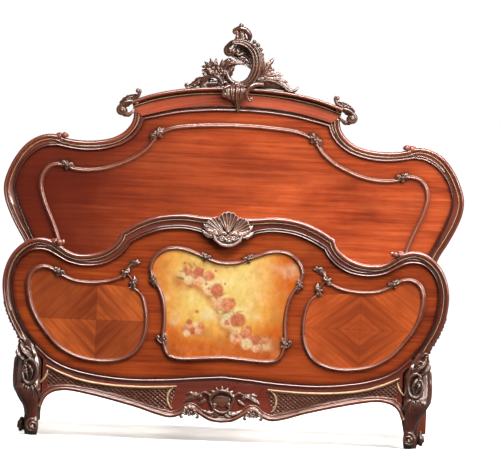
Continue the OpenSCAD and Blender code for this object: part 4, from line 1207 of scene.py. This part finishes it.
def build_cornice_scrolls():
    b = Build()
    c_scroll(b, [[366, 1176, 14], [388, 1182, 18], [412, 1176, 20], [432, 1158, 20]], [7, 9, 8],
             curl_b=(15, 1.5, -1))
    tube(b, [[418, 1144, -20], [418, 1144, 0], [418, 1144, 16]], [17, 17, 12], k=20)
    leaf(b, [[430, 1168, 16], [408, 1186, 20], [388, 1196, 20], [370, 1202, 14], [356, 1204, 10]], 15,
         thick=9, lobes=5)
    c_scroll(b, [[384, 1190, 18], [366, 1200, 20], [358, 1216, 20]], [8, 7, 6], curl_b=(8, 1.1, -1))
    leaf(b, [[420, 1132, 10], [402, 1130, 12], [386, 1140, 10], [376, 1156, 4]], 9, thick=6, lobes=3)
    leaf(b, [[372, 1192, 14], [396, 1182, 18], [416, 1162, 16], [424, 1140, 12]], 17, thick=14, lobes=4,
         cup=0.5)
    pair("cornice_scroll", to_board(b, HEAD), "carving", ["cornice_left_scroll"], ["cornice_right_scroll"],
         remesh=1.1, smooth=2)


CREST_REACH, CREST_TOP = 50.0, 1483.6


def build_crest():
    b = Build()
    # the great C: a broad fluted band from the lower left, up the right and over to a volute
    c_path = [[-44, 1298, 12], [-34, 1276, 14], [-12, 1260, 16], [18, 1258, 16], [46, 1274, 18],
              [62, 1304, 20], [66, 1340, 20], [58, 1376, 20], [36, 1402, 20], [4, 1414, 20],
              [-26, 1410, 20], [-46, 1392, 18]]
    c_scroll(b, c_path, [7, 10, 12, 15, 19, 20, 20, 18, 15, 12, 10, 9], 0.62, curl_a=(8, 1.1, 1),
             curl_b=(18, 1.3, 1))
    for offset, w in ((-11, 3.6), (0, 4.2), (11, 3.6)):
        line = curve(c_path[2:-1], 6.0)
        scale = np.interp(np.linspace(0, 1, len(line)), [0, 0.3, 0.7, 1], [0.5, 1.0, 1.0, 0.5])
        side = normals(line[:, :2]) * (offset * scale)[:, None]
        rib = line.copy()
        rib[:, :2] += side
        rib[:, 2] += 9 + 3 * scale
        tube(b, rib, w, w)
    # hood hollowed behind the top of the C, and the little curl in front of it
    leaf(b, [[-22, 1394, 8], [6, 1386, 4], [34, 1364, 2], [46, 1334, 4]], 32, thick=10, lobes=3, cup=-0.3)
    leaf(b, [[-30, 1376, 6], [0, 1362, 2], [28, 1342, 0], [44, 1316, 2]], 22, thick=8, lobes=3, cup=-0.3)
    c_scroll(b, [[12, 1372, 12], [0, 1366, 16], [-10, 1370, 18]], [5, 5], curl_b=(8, 1.1, -1))
    for x, z, r in ((54, 1416, 8), (68, 1404, 8.5), (78, 1388, 8.5), (84, 1370, 7.5), (87, 1352, 6.5)):
        ball(b, (x, z, 14), r)
    leaf(b, [[74, 1300, 20], [84, 1330, 26], [82, 1364, 26], [66, 1392, 22]], 11, thick=8, lobes=6)
    # bud and curl at the very top
    tube(b, [[2, 1414, 14], [6, 1428, 16], [4, 1444, 16], [0, 1456, 12]], [25, 20, 14, 8], [14, 13, 11, 6])
    for x in (-14, -2, 11):
        leaf(b, [[x, 1414, 24], [x * 0.9 + 2, 1430, 27], [x * 0.5 + 2, 1448, 22]], 8, thick=7, lobes=2,
             rows=14)
    c_scroll(b, [[34, 1420, 12], [36, 1438, 16], [24, 1456, 19], [2, 1464, 20], [-18, 1458, 18]],
             [7, 10, 11, 10, 7], curl_b=(8, 1.0, 1))
    tube(b, [[4, 1462, 14], [5, 1470, 14]], [6, 6])
    ball(b, (4, 1474.5, 13), 8.8)
    # left: flowers over an arched scroll, with a tail along the cornice
    c_scroll(b, [[-134, 1250, 12], [-126, 1272, 16], [-104, 1286, 18], [-78, 1284, 18], [-60, 1262, 14]],
             [9, 10, 10, 10, 8], 0.8, curl_a=(8, 1, 1), curl_b=(7, 1, -1))
    leaf(b, [[-112, 1274, 12], [-136, 1268, 18], [-160, 1252, 16], [-180, 1243, 12], [-192, 1246, 10]], 17,
         thick=10, lobes=5)
    leaf(b, [[-130, 1262, 10], [-146, 1272, 14], [-158, 1268, 10]], 10, thick=8, lobes=3, rows=16)
    c_scroll(b, [[-170, 1244, 10], [-184, 1238, 12], [-192, 1244, 12]], [5, 4], curl_b=(7, 1.1, -1))
    leaf(b, [[-104, 1252, 6], [-98, 1264, 10], [-90, 1274, 8]], 22, thick=8, lobes=2)
    flower(b, (-94, 1314, 20), 27, 7, 12, 0.2)
    flower(b, (-118, 1300, 14), 18, 6, 8, 0.7)
    flower(b, (-72, 1304, 16), 17, 6, 8, 0.4)
    ball(b, (-94, 1304, 4), 22, 0.6)
    for x0, x1, z1 in ((-104, -128, 1338), (-96, -106, 1352), (-86, -84, 1352), (-112, -138, 1318)):
        leaf(b, [[x0, 1304, 10], [(x0 + x1) / 2, (1316 + z1) / 2, 14], [x1, z1, 8]], 9, thick=8, lobes=3,
             rows=16)
    leaf(b, [[-68, 1296, 12], [-64, 1324, 16], [-60, 1352, 14]], 9, thick=9, lobes=2, rows=16)
    leaf(b, [[-58, 1308, 12], [-40, 1330, 18], [-14, 1338, 20], [8, 1336, 16], [18, 1328, 10]], 15,
         thick=10, lobes=5)
    leaf(b, [[-56, 1318, 10], [-44, 1344, 14], [-24, 1352, 12]], 9, thick=8, lobes=3, rows=16)
    leaf(b, [[-50, 1264, 8], [-44, 1288, 12], [-30, 1310, 14], [-14, 1328, 10]], 20, thick=10, lobes=4)
    leaf(b, [[-60, 1258, 8], [-58, 1280, 14], [-56, 1302, 14]], 14, thick=9, lobes=3, rows=18)
    # right: long acanthus leaves
    leaf(b, [[48, 1254, 16], [82, 1276, 24], [122, 1280, 24], [160, 1264, 20], [190, 1242, 14],
             [212, 1246, 12], [222, 1258, 8]], 22, thick=12, lobes=7)
    leaf(b, [[84, 1280, 18], [112, 1296, 22], [140, 1300, 20], [166, 1296, 12]], 14, thick=9, lobes=4)
    leaf(b, [[110, 1276, 18], [140, 1284, 22], [166, 1276, 18], [184, 1272, 10]], 11, thick=8, lobes=4)
    leaf(b, [[78, 1280, 16], [96, 1304, 22], [104, 1330, 22], [116, 1344, 18], [130, 1362, 12]], 16,
         thick=9, lobes=5)
    leaf(b, [[80, 1284, 14], [104, 1296, 20], [122, 1308, 16], [130, 1322, 8]], 14, thick=9, lobes=4)
    leaf(b, [[78, 1310, 14], [92, 1326, 20], [112, 1326, 18], [126, 1316, 10]], 10, thick=8, lobes=3)
    tube(b, [[50, 1256, 4], [90, 1262, 6], [130, 1260, 6], [170, 1246, 4]], [12, 18, 15, 6], [8, 9, 8, 4])
    tube(b, [[-160, 1250, 3], [-100, 1256, 5], [-40, 1262, 6], [20, 1256, 6], [70, 1258, 5]],
         [6, 12, 12, 12, 9], [6, 8, 9, 9, 8])
    # the drop over the frieze
    c_scroll(b, [[92, 1262, 30], [62, 1260, 36], [40, 1244, 40], [32, 1222, 40], [40, 1202, 38]],
             [8, 10, 9, 7, 5], curl_b=(9, 1.0, 1))
    for x, w, low_end in ((-40, 12, 1200), (-22, 12, 1178), (-2, 14, 1156), (16, 12, 1172)):
        leaf(b, [[x * 0.9, 1262, 26], [x, 1240, 40], [x * 0.8, 1212, 38],
                 [x * 0.45 + 2, (1212 + low_end) / 2, 22], [x * 0.2 + 4, low_end, 10]], w, thick=12,
             lobes=4, rows=28, cols=9)
    c_scroll(b, [[-30, 1252, 32], [-50, 1240, 36], [-54, 1220, 36]], [8, 7, 5], curl_b=(8, 1.0, 1))
    b = to_board(b, HEAD)
    b.v = [[x, min(max(y, HEAD - CREST_REACH), HEAD + CREST_REACH), min(z, CREST_TOP)] for x, y, z in b.v]
    piece("crest_carving", b, "carving", ["headboard_crest"], remesh=1.2, smooth=1)


# ------------------------------------------------------------------ posts, rails and base
def block(b, lo, hi, r=2.0, axis=1):
    """A bar with rounded long edges and slightly eased ends, along the given axis."""
    lo, hi = np.array(lo, float), np.array(hi, float)
    u, v = [k for k in range(3) if k != axis]
    sec = []
    for cu, cv, a0 in ((hi[u] - r, hi[v] - r, 0), (lo[u] + r, hi[v] - r, 90), (lo[u] + r, lo[v] + r, 180),
                       (hi[u] - r, lo[v] + r, 270)):
        sec += [(cu + r * math.cos(math.radians(a0 + t)), cv + r * math.sin(math.radians(a0 + t)))
                for t in (0, 22.5, 45, 67.5, 90)]
    sec = np.array(sec)
    mid = (lo + hi) / 2
    rows = []
    for at, inset in ((lo[axis], r), (lo[axis] + r * 0.3, r * 0.3), (lo[axis] + r, 0),
                      (hi[axis] - r, 0), (hi[axis] - r * 0.3, r * 0.3), (hi[axis], r)):
        row = np.zeros((len(sec), 3))
        c = np.array([mid[u], mid[v]])
        d = sec - c
        shrink = 1 - inset / np.maximum(np.abs(d).max(0), 1e-6)
        row[:, u], row[:, v], row[:, axis] = c[0] + d[:, 0] * shrink[0], c[1] + d[:, 1] * shrink[1], at
        rows.append(row)
    b.grid(np.array(rows), wrap=True, caps=True)


def bar(name, node, kind, axis, r=2.0):
    b = Build()
    block(b, low(node), high(node), r, axis)
    piece(name, b, kind, [node])


SLAT_COUNT, SLAT_WIDTH = 13, 78.0


def build_base():
    for side in ("left", "right"):
        bar(side + "_post", f"headboard_{side}_post", "post", 2, 4)
        bar(side + "_slat_ledger", side + "_ledger", "pine_long", 1, 1.5)
        lo, hi = low(side + "_side_rail"), high(side + "_side_rail")
        way = 1 if side == "right" else -1
        inner, outer = (lo[0], hi[0]) if way > 0 else (hi[0], lo[0])
        sec = [(inner, lo[2] + 2), (inner + way * 2, lo[2]), (outer - way * 3, lo[2])]
        sec += [(outer - way * 4 + way * 6.5 * math.cos(a), lo[2] + 10 + 8 * math.sin(a))
                for a in np.linspace(-1.3, 1.3, 9)]
        sec += [(outer - way * 3, lo[2] + 20), (outer - way * 3, lo[2] + 23), (outer - way * 5, lo[2] + 26),
                (outer - way * 5, hi[2] - 25), (outer - way * 3, hi[2] - 22), (outer - way * 3, hi[2] - 19)]
        sec += [(outer - way * 4 + way * 6.5 * math.cos(a), hi[2] - 9 + 9 * math.sin(a))
                for a in np.linspace(-1.2, 1.5, 11)]
        sec += [(inner + way * 3, hi[2]), (inner + way * 0.8, hi[2] - 0.8), (inner, hi[2] - 3)]
        g = np.array([[[x, y, z] for x, z in sec] for y in (lo[1], (lo[1] + hi[1]) / 2, hi[1])])
        b = Build()
        b.grid(g, wrap=True, caps=True)
        piece(side + "_moulded_rail", b, "rail", [side + "_side_rail", side + "_rail_beads"])
    bar("headboard_lower_rail", "headboard_bottom_rail", "field", 0, 3)
    bar("footboard_cross_rail", "footboard_back_rail", "pine", 0, 2)
    bar("centre_bearer", "centre_beam", "pine_long", 1, 2)
    lo, hi = low("slats"), high("slats")
    b = Build()
    for k in range(SLAT_COUNT):
        y = lo[1] + (hi[1] - lo[1] - SLAT_WIDTH) * k / (SLAT_COUNT - 1)
        block(b, (lo[0], y, lo[2]), (hi[0], y + SLAT_WIDTH, hi[2]), 2.5, 0)
    piece("bed_slats", b, "pine", ["slats"])


def build_ironwork():
    for name in ("rail_brackets", "bracket_screws", "ledger_screws"):
        obj = bpy.data.objects[name]
        obj.data.materials.clear()
        obj.data.materials.append(MAT["iron"])


build_footboard_frame()
build_apron()
build_painted_panel()
build_kidneys()
build_shell()
build_cartouche()
build_footboard_knobs()
build_legs()
build_headboard_frame()
build_cornice_scrolls()
build_crest()
build_base()
build_ironwork()


# ------------------------------------------------------------------ stage, light and camera
def pale(name, rgb, rough):
    sh = Shader(name)
    n = sh.noise(sh.coords("Object"), 0.6, 4, 0.5)
    return sh.finish(sh.ramp(n, [(0.3, linear(rgb)), (0.7, linear([min(255, c + 3) for c in rgb]))]), rough,
                     specular=0.1)


FLOOR, FLOOR_DROP = 60.0, 0.0005          # half width, and how far it lies under the feet, metres
SEEN, LIT = 1.0, 0.12                     # the backdrop's strength to the camera and as light
floor_mesh = bpy.data.meshes.new("floor")
floor_mesh.from_pydata([(-FLOOR, -FLOOR, 0), (FLOOR, -FLOOR, 0), (FLOOR, FLOOR, 0), (-FLOOR, FLOOR, 0)], [],
                       [(0, 1, 2, 3)])
floor_mesh.materials.append(pale("pale_floor", (246, 245, 243), 0.8))
floor = bpy.data.objects.new("floor", floor_mesh)
floor.location.z = -FLOOR_DROP
bpy.context.scene.collection.objects.link(floor)
floor.visible_diffuse = False
floor.visible_glossy = False

world = bpy.data.worlds.new("studio")
bpy.context.scene.world = world
world.use_nodes = True
wt = world.node_tree
wt.nodes.clear()
seen, lit = wt.nodes.new("ShaderNodeBackground"), wt.nodes.new("ShaderNodeBackground")
seen.inputs[0].default_value = (1, 1, 1, 1)
seen.inputs[1].default_value = SEEN
lit.inputs[0].default_value = (1.0, 0.985, 0.97, 1)
lit.inputs[1].default_value = LIT
path, choose = wt.nodes.new("ShaderNodeLightPath"), wt.nodes.new("ShaderNodeMixShader")
out = wt.nodes.new("ShaderNodeOutputWorld")
wt.links.new(path.outputs["Is Camera Ray"], choose.inputs[0])
wt.links.new(lit.outputs[0], choose.inputs[1])
wt.links.new(seen.outputs[0], choose.inputs[2])
wt.links.new(choose.outputs[0], out.inputs[0])


def area(name, at, to, width, height, watts, colour, unseen):
    light = bpy.data.lights.new(name, "AREA")
    light.energy = watts
    light.color = colour
    light.shape = "RECTANGLE"
    light.size, light.size_y = width, height
    obj = bpy.data.objects.new(name, light)
    obj.location = at
    obj.rotation_euler = (Vector(to) - Vector(at)).to_track_quat("-Z", "Y").to_euler()
    obj.visible_camera = False
    if unseen == "diffuse":
        obj.visible_diffuse = False
    if unseen == "glossy":
        obj.visible_glossy = False
    bpy.context.scene.collection.objects.link(obj)


NEUTRAL, GLOSS = (1, 1, 1), (1, 0.86, 0.78)
# name, place, aim, width, height, watts, colour, and the kind of ray that doesn't see it
LIGHTS = (("strip", (0.9, -3.8, 4.2), (0.2, -0.8, 0.6), 3.2, 0.9, 205, (1, 0.965, 0.95), None),
          ("key", (3.2, -5.4, 2.2), (0.2, -0.8, 0.5), 1.2, 1.2, 140, (1, 0.97, 0.945), None),
          ("fill", (-3.8, -4.8, 1.6), (-0.2, -0.6, 0.6), 2.0, 2.0, 9, (1, 0.98, 0.96), None),
          ("head", (1.7, -0.7, 2.4), (0.75, 0.97, 0.85), 1.0, 0.7, 54, (1, 0.975, 0.95), None),
          ("back", (0.8, 4.8, 3.0), (0.0, 0.9, 0.6), 2.0, 2.0, 90, NEUTRAL, None),
          ("gloss_high", (0.6, -4.4, 5.0), (0.0, -0.4, 0.6), 4.0, 2.2, 820, GLOSS, "diffuse"),
          ("gloss_side", (5.0, -4.0, 2.4), (0.3, -0.4, 0.6), 1.4, 3.0, 340, GLOSS, "diffuse"),
          ("left", (-5.0, 1.0, 2.8), (0.0, 0.2, 0.5), 1.8, 1.8, 50, NEUTRAL, "glossy"),
          ("right", (5.2, 1.2, 2.6), (0.0, 0.2, 0.4), 1.6, 1.6, 46, NEUTRAL, "glossy"), )
for light in LIGHTS:
    area(*light)

sun = bpy.data.lights.new("floor_light", "SUN")
sun.energy = 3.4
sun.angle = math.radians(50)
sun_obj = bpy.data.objects.new("floor_light", sun)
bpy.context.scene.collection.objects.link(sun_obj)
only_floor = bpy.data.collections.new("floor_only")
only_floor.objects.link(floor)
sun_obj.light_linking.receiver_collection = only_floor

# a long lens from far away, so that both boards are seen almost square on
CAMERA_AT = Vector((0.658, -79.984, 2.2175))
YAW, PITCH, ROLL = (math.radians(a) for a in (-0.42, -1.07, 2.17))
LENS, SENSOR, CLIP_END = 1589.22, 36.0, 400.0
fwd = Vector((math.sin(YAW) * math.cos(PITCH), math.cos(YAW) * math.cos(PITCH), math.sin(PITCH)))
right = Vector((math.cos(YAW), -math.sin(YAW), 0.0))
up = right.cross(fwd)
r2 = right * math.cos(ROLL) + up * math.sin(ROLL)
u2 = up * math.cos(ROLL) - right * math.sin(ROLL)
cam = bpy.data.cameras.new("camera")
cam.sensor_width = SENSOR
cam.lens = LENS
cam.clip_end = CLIP_END
cam_obj = bpy.data.objects.new("camera", cam)
m = Matrix((r2, u2, -fwd)).transposed().to_4x4()
m.translation = CAMERA_AT
cam_obj.matrix_world = m
bpy.context.scene.collection.objects.link(cam_obj)
bpy.context.scene.camera = cam_obj
bpy.context.scene.view_settings.view_transform = "Standard"

bpy.context.view_layer.update()
